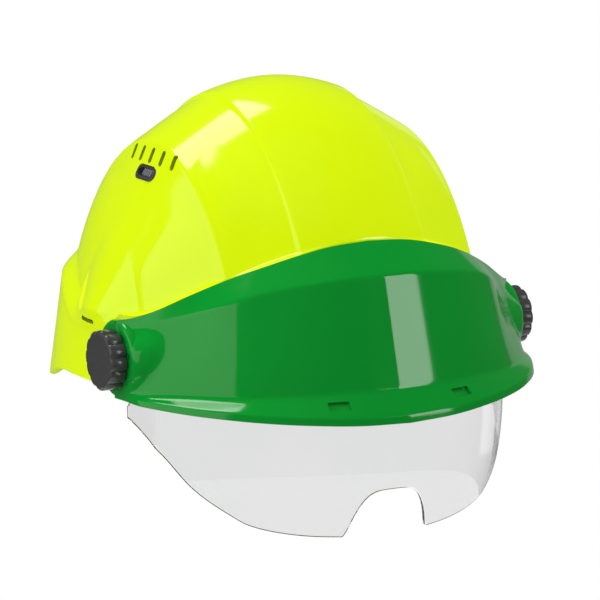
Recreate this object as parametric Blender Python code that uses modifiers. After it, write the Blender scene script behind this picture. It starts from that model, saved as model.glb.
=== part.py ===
"""Industrial hard hat with a brow guard, a clear lens that slides up behind it, and a head cradle.

The wearer looks along -Y, +Z is up and +X is the wearer's left. The origin is in the middle of
the dome, near the height of the lower rim. Every length below is in millimetres.
"""

import math

import bmesh
import bpy
import numpy as np
from mathutils import Matrix, Vector

MM = 0.001
SIDES = {"left": 1, "right": -1}
GAP = 0.4

# Dome: nested super-ellipsoids. Each stands proud of the next one down to a drafted side wall.
# half-width, front reach, rear reach, height, exponent, half-width of the wall
DOME_BODIES = (
    (133.0, 114.0, 114.0, 158.5, 1.89, 35.0),
    (131.0, 110.0, 112.0, 156.3, 1.94, 70.0),
    (100.5, 102.5, 110.0, 153.3, 2.41, 92.0),
    (100.0, 74.0, 110.0, 153.3, 2.41, 400.0),
)
WALL_DRAFT = 0.45
SHELL_WALL = 2.6
FOOT_HEIGHT = 48.0
FOOT_REAR_RISE = 18.0
FOOT_ABOVE_GUARD = 0.8
SHOULDER_INSIDE_GUARD = 1.1
FRONT_RECESS = 5.6
SKIRT_FROM_DEG, SKIRT_FULL_DEG = 76.0, 83.0
RIM_FRONT = (97.0, 104.0)
RIM_REAR = (112.0, 131.0)
SKIRT_TOP = (105.5, 123.0)
SKIRT_SHOULDER_DROP = 9.0
RIM_HEIGHT = 15.0
RIM_REAR_DROP = 17.0
SHELL_AZIMUTHS = 72
DOME_ROWS = 13

# Clamp axis, shared by knob, stud, washer and guard ear. It runs along X at this y and z.
CLAMP_Y, CLAMP_Z = -40.0, 31.0
STUD_RADIUS = 3.0
BORE_RADIUS = 3.4
SHELL_PAD_RADIUS = 10.0
SHELL_PAD_FACE = 96.1
SHELL_PAD_BACK = 82.5
STUD_HEAD_RADIUS = 6.5
STUD_HEAD_THICKNESS = 3.0
WASHER_RADIUS = 8.4
WASHER_THICKNESS = 0.65
KNOB_RADIUS = 15.0
KNOB_LOBES = 12
KNOB_LOBE_DEPTH = 0.9
KNOB_BASE, KNOB_FACE = 117.4, 126.0
STUD_TIP = 123.0

# Brow guard: rails from the middle of the brow round to the ear at the clamp axis.
GUARD_WALL = 2.4
GUARD_TOP = (
    (0, -92.8, 88.2), (21, -92.0, 86.8), (38, -90.0, 83.4), (54, -85.2, 78.6), (70, -76.3, 72.2),
    (86, -67.0, 64.6), (99, -58.0, 57.5), (109, -49.0, 52.6), (117, -40.0, 50.2),
)
GUARD_SHELF = (
    (0, -109.0, 73.5), (22, -107.2, 73.0), (42, -102.3, 71.0), (60, -95.0, 67.8), (75, -86.3, 62.6),
    (90, -70.5, 55.5), (103, -58.5, 50.5), (111.5, -48.5, 48.0), (117, -40.0, 46.0),
)
GUARD_FACE = (
    (0, -124.0, 20.0), (22, -122.3, 20.0), (43, -117.3, 19.5), (61, -110.2, 18.8), (77, -101.5, 18.0),
    (95, -85.5, 17.5), (109, -69.0, 17.0), (115.5, -54.0, 16.5), (117.2, -40.0, 16.0),
)
GUARD_LIP = (
    (0, -133.6, 8.6), (26, -131.4, 9.4), (49, -125.6, 10.9), (68, -117.3, 12.3), (84, -106.9, 13.5),
    (99.6, -91.2, 14.4), (112, -70.8, 14.8), (116.9, -54.5, 14.6), (117.6, -40.0, 14.0),
)
GUARD_EDGE = (
    (0, -134.0, 5.0), (26, -131.9, 5.8), (49, -126.1, 7.3), (68, -117.8, 8.7), (84, -107.4, 9.9),
    (100, -91.7, 11.0), (112.3, -71.1, 11.9), (117.2, -54.7, 12.2), (117.8, -40.0, 11.6),
)
RAIL_STEPS = 4
EAR_RADIUS = 19.4
EAR_OUTER, EAR_INNER = 117.0, 114.4
SPACER_RADIUS = 12.0
SPACER_FACE = 100.0
NOTCH = (11.0, 5.0, 1.2)
NOTCH_X = 34.5

# Lens: a sheet that turns about a line along X, so that it slides up along itself.
LENS_AXIS_Y, LENS_AXIS_Z = 25.0, -2.0
LENS_REACH = 146.0
LENS_HALF_WIDTH = 114.0
LENS_EXPONENT = 2.3
LENS_EAR_X = 99.6
LENS_EAR_SOFTNESS = 0.4
LENS_EAR_REACH = 52.0
LENS_THICKNESS = 1.8
LENS_TOP_DEG = 8.5
PRONG_TOP_DEG = 27.6
PRONG_REACH = (66.0, 82.0)
LENS_LOWER = ((52, -0.5), (68, -4.0), (84, -7.8), (102, -15.6), (119, -19.8), (128, -21.3), (147, -21.4))
NOSE_DEG = 8.0
NOSE_HALF_WIDTH = 17.5
SLOT_WIDTH = 7.6
SLOT_FOOT_DEG, SLOT_MOUTH_DEG = 12.2, 34.0
LENS_NOSE_COLUMNS = 12
LENS_SIDE_COLUMNS = 20
LENS_ROWS = 7

# Vents: five slots and a shutter on each side, laid out on the dome's slope.
VENT_CENTRE = (75.0, -4.0, 114.8)
VENT_COUNT = 5
VENT_PITCH = 10.0
VENT_SLOT = (2.3, 8.0)
VENT_ROW_RISE = 8.7
BEZEL = (22.0, 9.4)
BEZEL_WALL = 1.6
BUTTON = (8.0, 3.8)
SHUTTER = (58.0, 12.0, 1.2)
SHUTTER_DEPTH = 9.2

# Accessory slot over each ear, in a block behind the skirt.
SLOT_SEAT = (100.0, 4.0, 42.5)
SLOT_OPENING = (16.0, 2.8)
SLOT_BLOCK = (8.2, 22.0, 7.4)

# Cradle: a headband whose rear half is a circle, so that the nape bands can slide round in it.
BAND_RADIUS = 82.0
BAND_CENTRE_Y = 20.0
BAND_FRONT_REACH = 112.0
BAND_THICKNESS = 1.6
BAND_LOW, BAND_HIGH = 5.0, 33.0
BAND_END_DEG = 52.0
SWEATBAND_DEG = (-150.0, -30.0)
SWEATBAND_INSIDE = 3.9
SWEATBAND_THICKNESS = 3.0
NAPE_START_DEG = 34.0
NAPE_END_DEG = 99.0
NAPE_HEIGHT = 8.0
NAPE_LOW_RACK, NAPE_HIGH_RACK = 9.0, 21.4
PINION_RADIUS = 2.0
PINION_RACK_REACH = 3.2
PINION_STICKS_OUT = 2.4
KNOB_CLEARANCE = 0.6
NAPE_PAD_DEG = (66.0, 114.0)
NAPE_PAD_INSIDE = 15.5
NAPE_PAD_HEIGHT = 28.0
NAPE_PAD_THICKNESS = 5.0
HOUSING = (46.0, 15.0, 30.0)
HOUSING_WALL = 2.5
RATCHET_KNOB_RADIUS = 15.0
RATCHET_KNOB_DEPTH = 11.0
STRAP_WIDTH = 20.0
STRAP_THICKNESS = 1.3
STRAP_LAYER = 4.6
STRAP_FOOT_DEG = (-52.0, 38.0)
STRAP_FOOT_HEIGHT = 46.0
STRAP_CROWN = 128.0
KEY = (22.0, 3.6, 26.0)


def clear_scene():
    for item in list(bpy.data.objects):
        bpy.data.objects.remove(item, do_unlink=True)


def collection(name):
    made = bpy.data.collections.new(name)
    bpy.context.scene.collection.children.link(made)
    return made


def material(name, colour, roughness, metallic=0.0, transmission=0.0):
    made = bpy.data.materials.new(name)
    made.use_nodes = True
    shader = made.node_tree.nodes["Principled BSDF"]
    shader.inputs["Base Color"].default_value = (*colour, 1.0)
    shader.inputs["Roughness"].default_value = roughness
    shader.inputs["Metallic"].default_value = metallic
    shader.inputs["Transmission Weight"].default_value = transmission
    return made


def new_object(name, mesh, finish=None, cutter=False):
    made = bpy.data.objects.new(name, mesh)
    (CUTTERS if cutter else PARTS).objects.link(made)
    if finish:
        mesh.materials.append(finish)
    if cutter:
        made.hide_render = True
        made.display_type = "WIRE"
    return made


def mesh_from_bmesh(name, bm):
    bmesh.ops.recalc_face_normals(bm, faces=bm.faces)
    mesh = bpy.data.meshes.new(name)
    bm.to_mesh(mesh)
    bm.free()
    mesh.shade_smooth()
    mesh.set_sharp_from_angle(angle=math.radians(35))
    return mesh


def set_origin(obj, point):
    """Moves the object's origin to point, in millimetres, without moving its mesh."""
    place = Vector(point) * MM
    obj.data.transform(Matrix.Translation(-place))
    obj.location = place


def grid_mesh(name, rows, closed=False):
    """A surface through rows of points in millimetres; rows run round when closed."""
    bm = bmesh.new()
    verts = [[bm.verts.new(Vector(point) * MM) for point in row] for row in rows]
    count = len(rows[0])
    last = count if closed else count - 1
    for upper, lower in zip(verts[:-1], verts[1:]):
        for i in range(last):
            j = (i + 1) % count
            bm.faces.new((upper[i], lower[i], lower[j], upper[j]))
    return bm


def box(name, size, matrix, finish=None, cutter=False):
    """A box of the given size in millimetres, in the frame that matrix gives in millimetres."""
    bm = bmesh.new()
    bmesh.ops.create_cube(bm, size=1.0, matrix=Matrix.Diagonal((*size, 1.0)))
    bmesh.ops.transform(bm, matrix=Matrix.Scale(MM, 4) @ matrix, verts=bm.verts)
    return new_object(name, mesh_from_bmesh(name, bm), finish, cutter)


def cylinder_x(name, radius, x_from, x_to, finish=None, cutter=False, segments=32, centre=None):
    """A cylinder along X between two x values, on the clamp axis unless centre gives (y, z)."""
    y, z = centre or (CLAMP_Y, CLAMP_Z)
    bm = bmesh.new()
    turn = Matrix.Rotation(math.radians(90), 4, "Y")
    bmesh.ops.create_cone(
        bm, cap_ends=True, segments=segments, radius1=radius, radius2=radius,
        depth=abs(x_to - x_from), matrix=Matrix.Translation(((x_from + x_to) / 2, y, z)) @ turn,
    )
    bmesh.ops.transform(bm, matrix=Matrix.Scale(MM, 4), verts=bm.verts)
    return new_object(name, mesh_from_bmesh(name, bm), finish, cutter)


def boolean(target, tool, operation="DIFFERENCE"):
    step = target.modifiers.new(tool.name, "BOOLEAN")
    step.operation = operation
    step.object = tool
    step.solver = "EXACT"


def solidify(target, thickness):
    """Thickens an open surface inwards, away from its normals."""
    step = target.modifiers.new("wall", "SOLIDIFY")
    step.thickness = thickness * MM
    step.offset = -1.0


def smooth_step(value, low, high):
    share = np.clip((value - low) / (high - low), 0.0, 1.0)
    return share * share * (3.0 - 2.0 * share)


def through(points, steps):
    """A smooth curve through points, with the given number of steps between neighbours."""
    known = np.array(points, float)
    ends = np.vstack([2 * known[0] - known[1], known, 2 * known[-1] - known[-2]])
    made = []
    for i in range(1, len(ends) - 2):
        a, b, c, d = ends[i - 1], ends[i], ends[i + 1], ends[i + 2]
        for k in range(steps):
            t = k / steps
            made.append(0.5 * (2 * b + (c - a) * t + (2 * a - 5 * b + 4 * c - d) * t**2
                               + (3 * b - a - 3 * c + d) * t**3))
    made.append(known[-1])
    return np.array(made)


def mirrored(points):
    """A rail from the brow's middle to the left ear, carried on to the right ear."""
    flipped = points[:0:-1] * np.array((-1, 1, 1))
    return np.vstack([flipped, points])


def dome_radius(direction):
    """Distance from the origin to the dome's outer surface along unit directions."""
    x, y, z = np.abs(direction[..., 0]), direction[..., 1], direction[..., 2]
    away = np.hypot(y, z)
    best = np.zeros(x.shape)
    for half_width, front, rear, height, power, wall in DOME_BODIES:
        reach = np.where(y < 0, front, rear)
        flat = np.abs(y / reach) ** power + np.abs(z / height) ** power
        radius = ((x / half_width) ** power + flat) ** (-1 / power)
        if wall < half_width:
            at_wall = 1 - (wall / half_width) ** power
            edge = (at_wall / (flat / np.maximum(away, 1e-9) ** power + 1e-12)) ** (1 / power)
            radius = np.minimum(radius, (wall + WALL_DRAFT * edge) / (x + WALL_DRAFT * away))
        best = np.maximum(best, radius)
    return best


def dome_point(azimuth, elevation):
    """Outer dome point; azimuth 0 is the brow and pi the nape, elevation pi/2 the crown."""
    direction = np.stack([
        np.cos(elevation) * np.sin(azimuth),
        -np.cos(elevation) * np.cos(azimuth),
        np.sin(elevation),
    ], -1)
    return direction * dome_radius(direction)[..., None]


def plan_radius(azimuth, half_axes):
    return 1 / np.hypot(np.sin(azimuth) / half_axes[0], np.cos(azimuth) / half_axes[1])


def skirt_share(azimuth):
    """0 where the brow guard covers the shell's edge, 1 where the skirt hangs in the open."""
    return smooth_step(np.degrees(np.abs(azimuth)), SKIRT_FROM_DEG, SKIRT_FULL_DEG)


def guard_top(azimuth):
    """Reach from the Z axis, and height, of the guard's top edge at an azimuth."""
    rail = through(GUARD_TOP, 8)
    turn = np.arctan2(rail[:, 0], -rail[:, 1])
    reach = np.interp(np.abs(azimuth), turn, np.hypot(rail[:, 0], rail[:, 1]))
    return reach, np.interp(np.abs(azimuth), turn, rail[:, 2])


def foot_height(azimuth):
    """Height at which the dome meets the shoulder: just above the guard, then low over the ears."""
    turn = np.degrees(np.abs(azimuth))
    front = guard_top(azimuth)[1] + FOOT_ABOVE_GUARD
    side = FOOT_HEIGHT + FOOT_REAR_RISE * smooth_step(turn, 100, 130)
    return front + (side - front) * smooth_step(turn, 66, SKIRT_FULL_DEG)


def shell_rows():
    azimuth = np.linspace(0, 2 * np.pi, SHELL_AZIMUTHS, endpoint=False)
    turn = np.where(azimuth > np.pi, azimuth - 2 * np.pi, azimuth)
    foot_z = foot_height(turn)
    low, high = np.full(turn.shape, 0.0), np.full(turn.shape, np.pi / 2)
    for _ in range(40):
        middle = (low + high) / 2
        above = dome_point(turn, middle)[..., 2] > foot_z
        high = np.where(above, middle, high)
        low = np.where(above, low, middle)
    rows = []
    for k in range(1, DOME_ROWS + 1):
        rows.append(dome_point(turn, np.pi / 2 + (low - np.pi / 2) * k / DOME_ROWS))
    foot = rows[-1]
    foot_reach = np.hypot(foot[:, 0], foot[:, 1])
    skirt = skirt_share(turn)
    ledge, ledge_z = guard_top(turn)
    ledge = np.maximum(np.minimum(ledge, plan_radius(turn, SKIRT_TOP)) - SHOULDER_INSIDE_GUARD, foot_reach)
    shoulder = ledge + skirt * (plan_radius(turn, SKIRT_TOP) - ledge)
    shoulder_z = ledge_z + skirt * (foot_z - SKIRT_SHOULDER_DROP - ledge_z)
    under = ledge - FRONT_RECESS
    under += skirt * (plan_radius(turn, SKIRT_TOP) + 0.4 - under)
    under_z = ledge_z - 5.0 + skirt * (foot_z - SKIRT_SHOULDER_DROP - 4.0 - ledge_z + 5.0)
    rim = (1 - skirt) * plan_radius(turn, RIM_FRONT) + skirt * plan_radius(turn, RIM_REAR)
    rim_z = RIM_HEIGHT - RIM_REAR_DROP * smooth_step(np.degrees(np.abs(turn)), 98, 140)
    outward = np.stack([np.sin(turn), -np.cos(turn), np.zeros(turn.shape)], -1)

    def ring(reach, z):
        points = outward * reach[:, None]
        points[:, 2] = z
        return points

    rows += [ring(shoulder, shoulder_z), ring(under, under_z)]
    for share in (0.5, 1.0):
        rows.append(ring(under + (rim - under) * share, under_z + (rim_z - under_z) * share))
    return rows


def vent_frame(side):
    """Frame on the dome's slope: X along the row of slots, Y up the slope, Z outwards."""
    x, y, z = VENT_CENTRE
    half_width, _, _, height, power, _ = DOME_BODIES[3]
    out = Vector((
        side * (x / half_width) ** (power - 1) / half_width, 0,
        (z / height) ** (power - 1) / height,
    )).normalized()
    along = Vector((0, 1, 0))
    up = out.cross(along)
    frame = Matrix((along, up * side, out)).transposed().to_4x4()
    return Matrix.Translation((side * x, y, z)) @ frame


def stadium(name, length, width, low, high, frame, finish=None, cutter=False):
    """A round-ended bar lying in frame's XY plane, between two heights."""
    bm = bmesh.new()
    points = []
    for end in (1, -1):
        for k in range(9):
            angle = math.radians(-90 + 180 * k / 8)
            points.append((
                end * ((length - width) / 2 + width / 2 * math.cos(angle)),
                end * width / 2 * math.sin(angle), low,
            ))
    face = bm.faces.new([bm.verts.new(point) for point in points])
    raised = bmesh.ops.extrude_face_region(bm, geom=[face])
    top = [item for item in raised["geom"] if isinstance(item, bmesh.types.BMVert)]
    bmesh.ops.translate(bm, verts=top, vec=(0, 0, high - low))
    bmesh.ops.transform(bm, matrix=Matrix.Scale(MM, 4) @ frame, verts=bm.verts)
    return new_object(name, mesh_from_bmesh(name, bm), finish, cutter)


def make_shell():
    rows = shell_rows()
    bm = grid_mesh("shell", rows, closed=True)
    bm.verts.ensure_lookup_table()
    crown = bm.verts.new((0, 0, DOME_BODIES[0][3] * MM))
    first = list(bm.verts)[:SHELL_AZIMUTHS]
    for i, vert in enumerate(first):
        bm.faces.new((crown, vert, first[(i + 1) % SHELL_AZIMUTHS]))
    shell = new_object("shell", mesh_from_bmesh("shell", bm), FINISH["shell"])
    solidify(shell, SHELL_WALL)
    for label, side in SIDES.items():
        pad = cylinder_x(f"cut_pad_{label}", SHELL_PAD_RADIUS, side * SHELL_PAD_BACK,
                         side * SHELL_PAD_FACE, cutter=True)
        boolean(shell, pad, "UNION")
        bore = cylinder_x(f"cut_bore_{label}", BORE_RADIUS, side * 80, side * 110, cutter=True, segments=20)
        boolean(shell, bore)
        frame = vent_frame(side)
        for k in range(VENT_COUNT):
            along = (k - (VENT_COUNT - 1) / 2) * VENT_PITCH
            place = frame @ Matrix.Translation((along, VENT_ROW_RISE, 0))
            slot = box(f"cut_vent_{label}_{k}", (VENT_SLOT[0], VENT_SLOT[1], 16), place, cutter=True)
            boolean(shell, slot)
        hole = stadium(f"cut_bezel_{label}", BEZEL[0] - 2 * GAP, BEZEL[1] - 2 * GAP, -9, 9, frame,
                       cutter=True)
        boolean(shell, hole)
        sink = stadium(f"cut_sink_{label}", BEZEL[0] + 3.0, BEZEL[1] + 3.0, -0.6, 6, frame, cutter=True)
        boolean(shell, sink)
        x, y, z = SLOT_SEAT
        seat = Matrix.Translation((side * x, y, z))
        block = box(f"cut_slot_block_{label}", SLOT_BLOCK, seat, cutter=True)
        boolean(shell, block, "UNION")
        slot = box(f"cut_accessory_{label}", (30, *SLOT_OPENING), seat, cutter=True)
        boolean(shell, slot)


def make_guard():
    rails = [mirrored(through(rail, RAIL_STEPS))
             for rail in (GUARD_TOP, GUARD_SHELF, GUARD_FACE, GUARD_LIP, GUARD_EDGE)]
    rows = [rails[0], rails[1], (rails[1] + rails[2]) / 2, rails[2], rails[3], rails[4]]
    sheet = mesh_from_bmesh("brow_guard", grid_mesh("guard", rows))
    guard = new_object("brow_guard", sheet, FINISH["guard"])
    solidify(guard, GUARD_WALL)
    for label, side in SIDES.items():
        ear = cylinder_x(f"cut_ear_{label}", EAR_RADIUS, side * EAR_INNER, side * EAR_OUTER, cutter=True)
        boolean(guard, ear, "UNION")
        spacer = cylinder_x(f"cut_spacer_{label}", SPACER_RADIUS, side * SPACER_FACE,
                            side * (EAR_INNER + 1), cutter=True)
        boolean(guard, spacer, "UNION")
        bore = cylinder_x(f"cut_ear_bore_{label}", BORE_RADIUS, side * 95, side * 125,
                          cutter=True, segments=20)
        boolean(guard, bore)
        flange = math.atan2(11.4, 9.6)
        lean = Matrix.Rotation(flange, 4, "X")
        place = Matrix.Translation((side * NOTCH_X, -125.4, 14.6)) @ lean
        notch = box(f"cut_notch_{label}", (NOTCH[0], NOTCH[1], 2 * NOTCH[2]), place, cutter=True)
        boolean(guard, notch)


def lens_section():
    """Half of the lens's section, as x and reach, from its middle to the ear's rear edge."""
    last = math.acos((LENS_EAR_REACH / LENS_REACH) ** (LENS_EXPONENT / 2))
    angle = np.linspace(0, last, 4000)
    x = LENS_HALF_WIDTH * np.sin(angle) ** (2 / LENS_EXPONENT)
    reach = LENS_REACH * np.cos(angle) ** (2 / LENS_EXPONENT)
    x = LENS_EAR_X - LENS_EAR_SOFTNESS * np.logaddexp(0, (LENS_EAR_X - x) / LENS_EAR_SOFTNESS)
    x[0] = 0.0
    along = np.concatenate([[0], np.cumsum(np.hypot(np.diff(x), np.diff(reach)))])
    nose = np.linspace(0, NOSE_HALF_WIDTH + 12, LENS_NOSE_COLUMNS, endpoint=False)
    side = np.linspace(NOSE_HALF_WIDTH + 12, along[-1], LENS_SIDE_COLUMNS)
    stops = np.concatenate([nose, side])
    return np.interp(stops, along, x), np.interp(stops, along, reach)


def lens_edges(x, reach):
    """Lower and upper edge of the lens, in degrees about its axis."""
    lower = through(LENS_LOWER, 6)
    low = np.interp(reach, lower[:, 0], lower[:, 1])
    low += NOSE_DEG * (1 - smooth_step(x, 8, 8 + NOSE_HALF_WIDTH))
    inner, outer = PRONG_REACH
    rise = smooth_step(-reach, -outer - 16, -outer)
    fall = 1 - smooth_step(reach, LENS_EAR_REACH, inner)
    high = LENS_TOP_DEG + (PRONG_TOP_DEG - LENS_TOP_DEG) * rise - (PRONG_TOP_DEG - 6.0) * fall
    return low, high


def lens_point(x, reach, degrees):
    angle = np.radians(degrees)
    return np.stack([x, LENS_AXIS_Y - reach * np.cos(angle), LENS_AXIS_Z + reach * np.sin(angle)], -1)


def make_lens():
    x, reach = lens_section()
    low, high = lens_edges(x, reach)
    rows = []
    for k in range(LENS_ROWS + 1):
        share = k / LENS_ROWS
        rows.append(mirrored(lens_point(x, reach, high + (low - high) * share)))
    lens = new_object("lens", mesh_from_bmesh("lens", grid_mesh("lens", rows)), FINISH["lens"])
    set_origin(lens, (0, LENS_AXIS_Y, LENS_AXIS_Z))
    solidify(lens, LENS_THICKNESS)
    clamp_reach = math.hypot(CLAMP_Y - LENS_AXIS_Y, CLAMP_Z - LENS_AXIS_Z)
    for label, side in SIDES.items():
        middle = math.radians((SLOT_FOOT_DEG + SLOT_MOUTH_DEG) / 2)
        length = clamp_reach * math.radians(SLOT_MOUTH_DEG - SLOT_FOOT_DEG)
        place = (Matrix.Translation((side * LENS_EAR_X, LENS_AXIS_Y - clamp_reach * math.cos(middle),
                                     LENS_AXIS_Z + clamp_reach * math.sin(middle)))
                 @ Matrix.Rotation(-middle, 4, "X"))
        slot = box(f"cut_slot_{label}", (12, SLOT_WIDTH, length), place, cutter=True)
        boolean(lens, slot)


def knob_mesh(name, radius, low, high, lobes, depth, bevel=1.0, steps=6):
    """A scalloped grip along Z between two heights."""
    bm = bmesh.new()
    count = lobes * steps
    points = []
    for k in range(count):
        angle = 2 * math.pi * k / count
        reach = radius - depth * (1 - abs(math.cos(lobes * angle / 2))) ** 2
        points.append(bm.verts.new((reach * math.cos(angle), reach * math.sin(angle), low)))
    base = bm.faces.new(points)
    raised = bmesh.ops.extrude_face_region(bm, geom=[base])
    top = [item for item in raised["geom"] if isinstance(item, bmesh.types.BMVert)]
    bmesh.ops.translate(bm, verts=top, vec=(0, 0, high - low))
    caps = [face for face in bm.faces if len(face.verts) == count]
    rims = {edge for face in caps for edge in face.edges if face.calc_center_median().z > low + 0.1}
    bmesh.ops.bevel(bm, geom=list(rims), offset=bevel, segments=2, affect="EDGES", profile=0.5)
    return bm


def make_clamps():
    for label, side in SIDES.items():
        turn = Matrix.Rotation(math.radians(90 * side), 4, "Y")
        bm = knob_mesh("knob", KNOB_RADIUS, 0, KNOB_FACE - KNOB_BASE, KNOB_LOBES, KNOB_LOBE_DEPTH)
        place = Matrix.Translation((side * KNOB_BASE, CLAMP_Y, CLAMP_Z)) @ turn
        bmesh.ops.transform(bm, matrix=Matrix.Scale(MM, 4) @ place, verts=bm.verts)
        knob = new_object(f"clamp_knob_{label}", mesh_from_bmesh("clamp_knob", bm), FINISH["black"])
        set_origin(knob, (side * KNOB_BASE, CLAMP_Y, CLAMP_Z))
        bore = cylinder_x(f"cut_knob_bore_{label}", BORE_RADIUS, side * (KNOB_BASE - 2),
                          side * (STUD_TIP + GAP), cutter=True, segments=20)
        boolean(knob, bore)
        stud = cylinder_x(f"clamp_stud_{label}", STUD_RADIUS, side * (SHELL_PAD_BACK - GAP - 1),
                          side * STUD_TIP, FINISH["steel"], segments=20)
        head = cylinder_x(f"cut_stud_head_{label}", STUD_HEAD_RADIUS,
                          side * (SHELL_PAD_BACK - GAP - STUD_HEAD_THICKNESS),
                          side * (SHELL_PAD_BACK - GAP), cutter=True, segments=6)
        boolean(stud, head, "UNION")
        washer = cylinder_x(f"friction_washer_{label}", WASHER_RADIUS, side * (SHELL_PAD_FACE + 0.3),
                            side * (SHELL_PAD_FACE + 0.3 + WASHER_THICKNESS), FINISH["rubber"])
        hole = cylinder_x(f"cut_washer_{label}", BORE_RADIUS, side * 95, side * 105, cutter=True,
                          segments=20)
        boolean(washer, hole)


def make_vents():
    for label, side in SIDES.items():
        frame = vent_frame(side)
        bezel = stadium(f"vent_bezel_{label}", BEZEL[0] - 4 * GAP, BEZEL[1] - 4 * GAP, -3.2, 0.9, frame,
                        FINISH["black"])
        flange = stadium(f"cut_flange_{label}", BEZEL[0] + 1.4, BEZEL[1] + 1.4, 0.6, 1.5, frame,
                         cutter=True)
        boolean(bezel, flange, "UNION")
        slot_size = (BEZEL[0] - 2 * BEZEL_WALL - 2.6, BEZEL[1] - 2 * BEZEL_WALL - 1.2)
        slot = stadium(f"cut_bezel_slot_{label}", *slot_size,
                       -9, 9, frame, cutter=True)
        boolean(bezel, slot)
        button = box(f"vent_slider_{label}", (BUTTON[0], BUTTON[1], SHUTTER_DEPTH + 2.2),
                     frame @ Matrix.Translation((-2.5, 0, 1.1 - SHUTTER_DEPTH / 2)), FINISH["grey"])
        set_origin(button, tuple(frame.translation))
        plate_z = -SHUTTER_DEPTH
        plate = box(f"cut_shutter_{label}", SHUTTER,
                    frame @ Matrix.Translation((-2.5, VENT_ROW_RISE - 2.5, plate_z)), cutter=True)
        boolean(button, plate, "UNION")
        for k in range(VENT_COUNT):
            along = (k - (VENT_COUNT - 1) / 2) * VENT_PITCH
            window = box(f"cut_window_{label}_{k}", (3.6, 5.6, 8),
                         frame @ Matrix.Translation((along, VENT_ROW_RISE, plate_z)), cutter=True)
            boolean(button, window)


def band_point(degrees, radius, z):
    """Headband plan: 0 is the wearer's left, 90 the nape; the front half is drawn out."""
    angle = math.radians(degrees)
    stretch = BAND_FRONT_REACH / BAND_RADIUS if math.sin(angle) < 0 else 1.0
    return (radius * math.cos(angle), BAND_CENTRE_Y + radius * stretch * math.sin(angle), z)


def band_strip(name, start, end, radius, low, high, thickness, finish, steps):
    """A strip round the headband's plan, thickened outwards."""
    angles = [start + (end - start) * k / steps for k in range(steps + 1)]
    rows = [[band_point(a, radius, z) for a in angles] for z in (high, low)]
    bm = grid_mesh(name, rows)
    inner = list(bm.faces)
    raised = bmesh.ops.extrude_face_region(bm, geom=inner)
    moved = [item for item in raised["geom"] if isinstance(item, bmesh.types.BMVert)]
    for vert in moved:
        x, y, z = (value / MM for value in vert.co)
        out = Vector((x, (y - BAND_CENTRE_Y) * (0.55 if y < BAND_CENTRE_Y else 1.0), 0)).normalized()
        vert.co += out * thickness * MM
    return new_object(name, mesh_from_bmesh(name, bm), finish)


def make_headband():
    start = -180 - BAND_END_DEG
    band_strip("headband", start, BAND_END_DEG, BAND_RADIUS, BAND_LOW, BAND_HIGH, BAND_THICKNESS,
               FINISH["plastic"], 44)
    band_strip("sweatband", *SWEATBAND_DEG, BAND_RADIUS - SWEATBAND_INSIDE, BAND_LOW - 1, BAND_HIGH + 1,
               SWEATBAND_THICKNESS, FINISH["foam"], 28)


def make_nape():
    rear_y = BAND_CENTRE_Y + BAND_RADIUS
    racks = {"left": NAPE_HIGH_RACK, "right": NAPE_LOW_RACK}
    radius = BAND_RADIUS - BAND_THICKNESS - GAP
    for label, side in SIDES.items():
        low = racks[label]
        ends = (NAPE_START_DEG, NAPE_END_DEG) if side > 0 else (180 - NAPE_END_DEG, 180 - NAPE_START_DEG)
        band = band_strip(f"nape_band_{label}", *ends, radius, low, low + NAPE_HEIGHT, BAND_THICKNESS,
                          FINISH["plastic"], 18)
        set_origin(band, (0, BAND_CENTRE_Y, 0))
    width, depth, height = HOUSING
    middle_z = (NAPE_LOW_RACK + NAPE_HIGH_RACK + NAPE_HEIGHT) / 2
    middle_y = rear_y - 1.6
    housing = box("ratchet_housing", HOUSING, Matrix.Translation((0, middle_y, middle_z)), FINISH["black"])
    cavity = box("cut_housing", (width + 2, depth - 2 * HOUSING_WALL, height - 2 * HOUSING_WALL),
                 Matrix.Translation((0, middle_y, middle_z)), cutter=True)
    boolean(housing, cavity)
    bore = turned_y("cut_housing_bore", PINION_RADIUS + 1.6, middle_y + 1, middle_y + depth, middle_z,
                    cutter=True)
    boolean(housing, bore)
    pinion_end = middle_y + depth / 2 + PINION_STICKS_OUT
    pinion = turned_y("ratchet_pinion", PINION_RADIUS, middle_y - PINION_RACK_REACH, pinion_end, middle_z,
                      FINISH["steel"])
    set_origin(pinion, (0, middle_y, middle_z))
    grip = knob_mesh("ratchet_knob", RATCHET_KNOB_RADIUS, 0, RATCHET_KNOB_DEPTH, 16, 1.0, steps=4)
    knob_foot = Matrix.Translation((0, middle_y + depth / 2 + KNOB_CLEARANCE, middle_z))
    turn = knob_foot @ Matrix.Rotation(math.radians(-90), 4, "X")
    bmesh.ops.transform(grip, matrix=Matrix.Scale(MM, 4) @ turn, verts=grip.verts)
    knob = new_object("ratchet_knob", mesh_from_bmesh("ratchet_knob", grip), FINISH["black"])
    set_origin(knob, (0, middle_y + depth / 2 + KNOB_CLEARANCE, middle_z))
    bore = turned_y("cut_ratchet_bore", PINION_RADIUS + GAP, middle_y, pinion_end + GAP, middle_z,
                    cutter=True)
    boolean(knob, bore)
    band_strip("nape_pad", *NAPE_PAD_DEG, BAND_RADIUS - NAPE_PAD_INSIDE, middle_z - NAPE_PAD_HEIGHT / 2,
               middle_z + NAPE_PAD_HEIGHT / 2, NAPE_PAD_THICKNESS, FINISH["foam"], 10)


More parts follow.
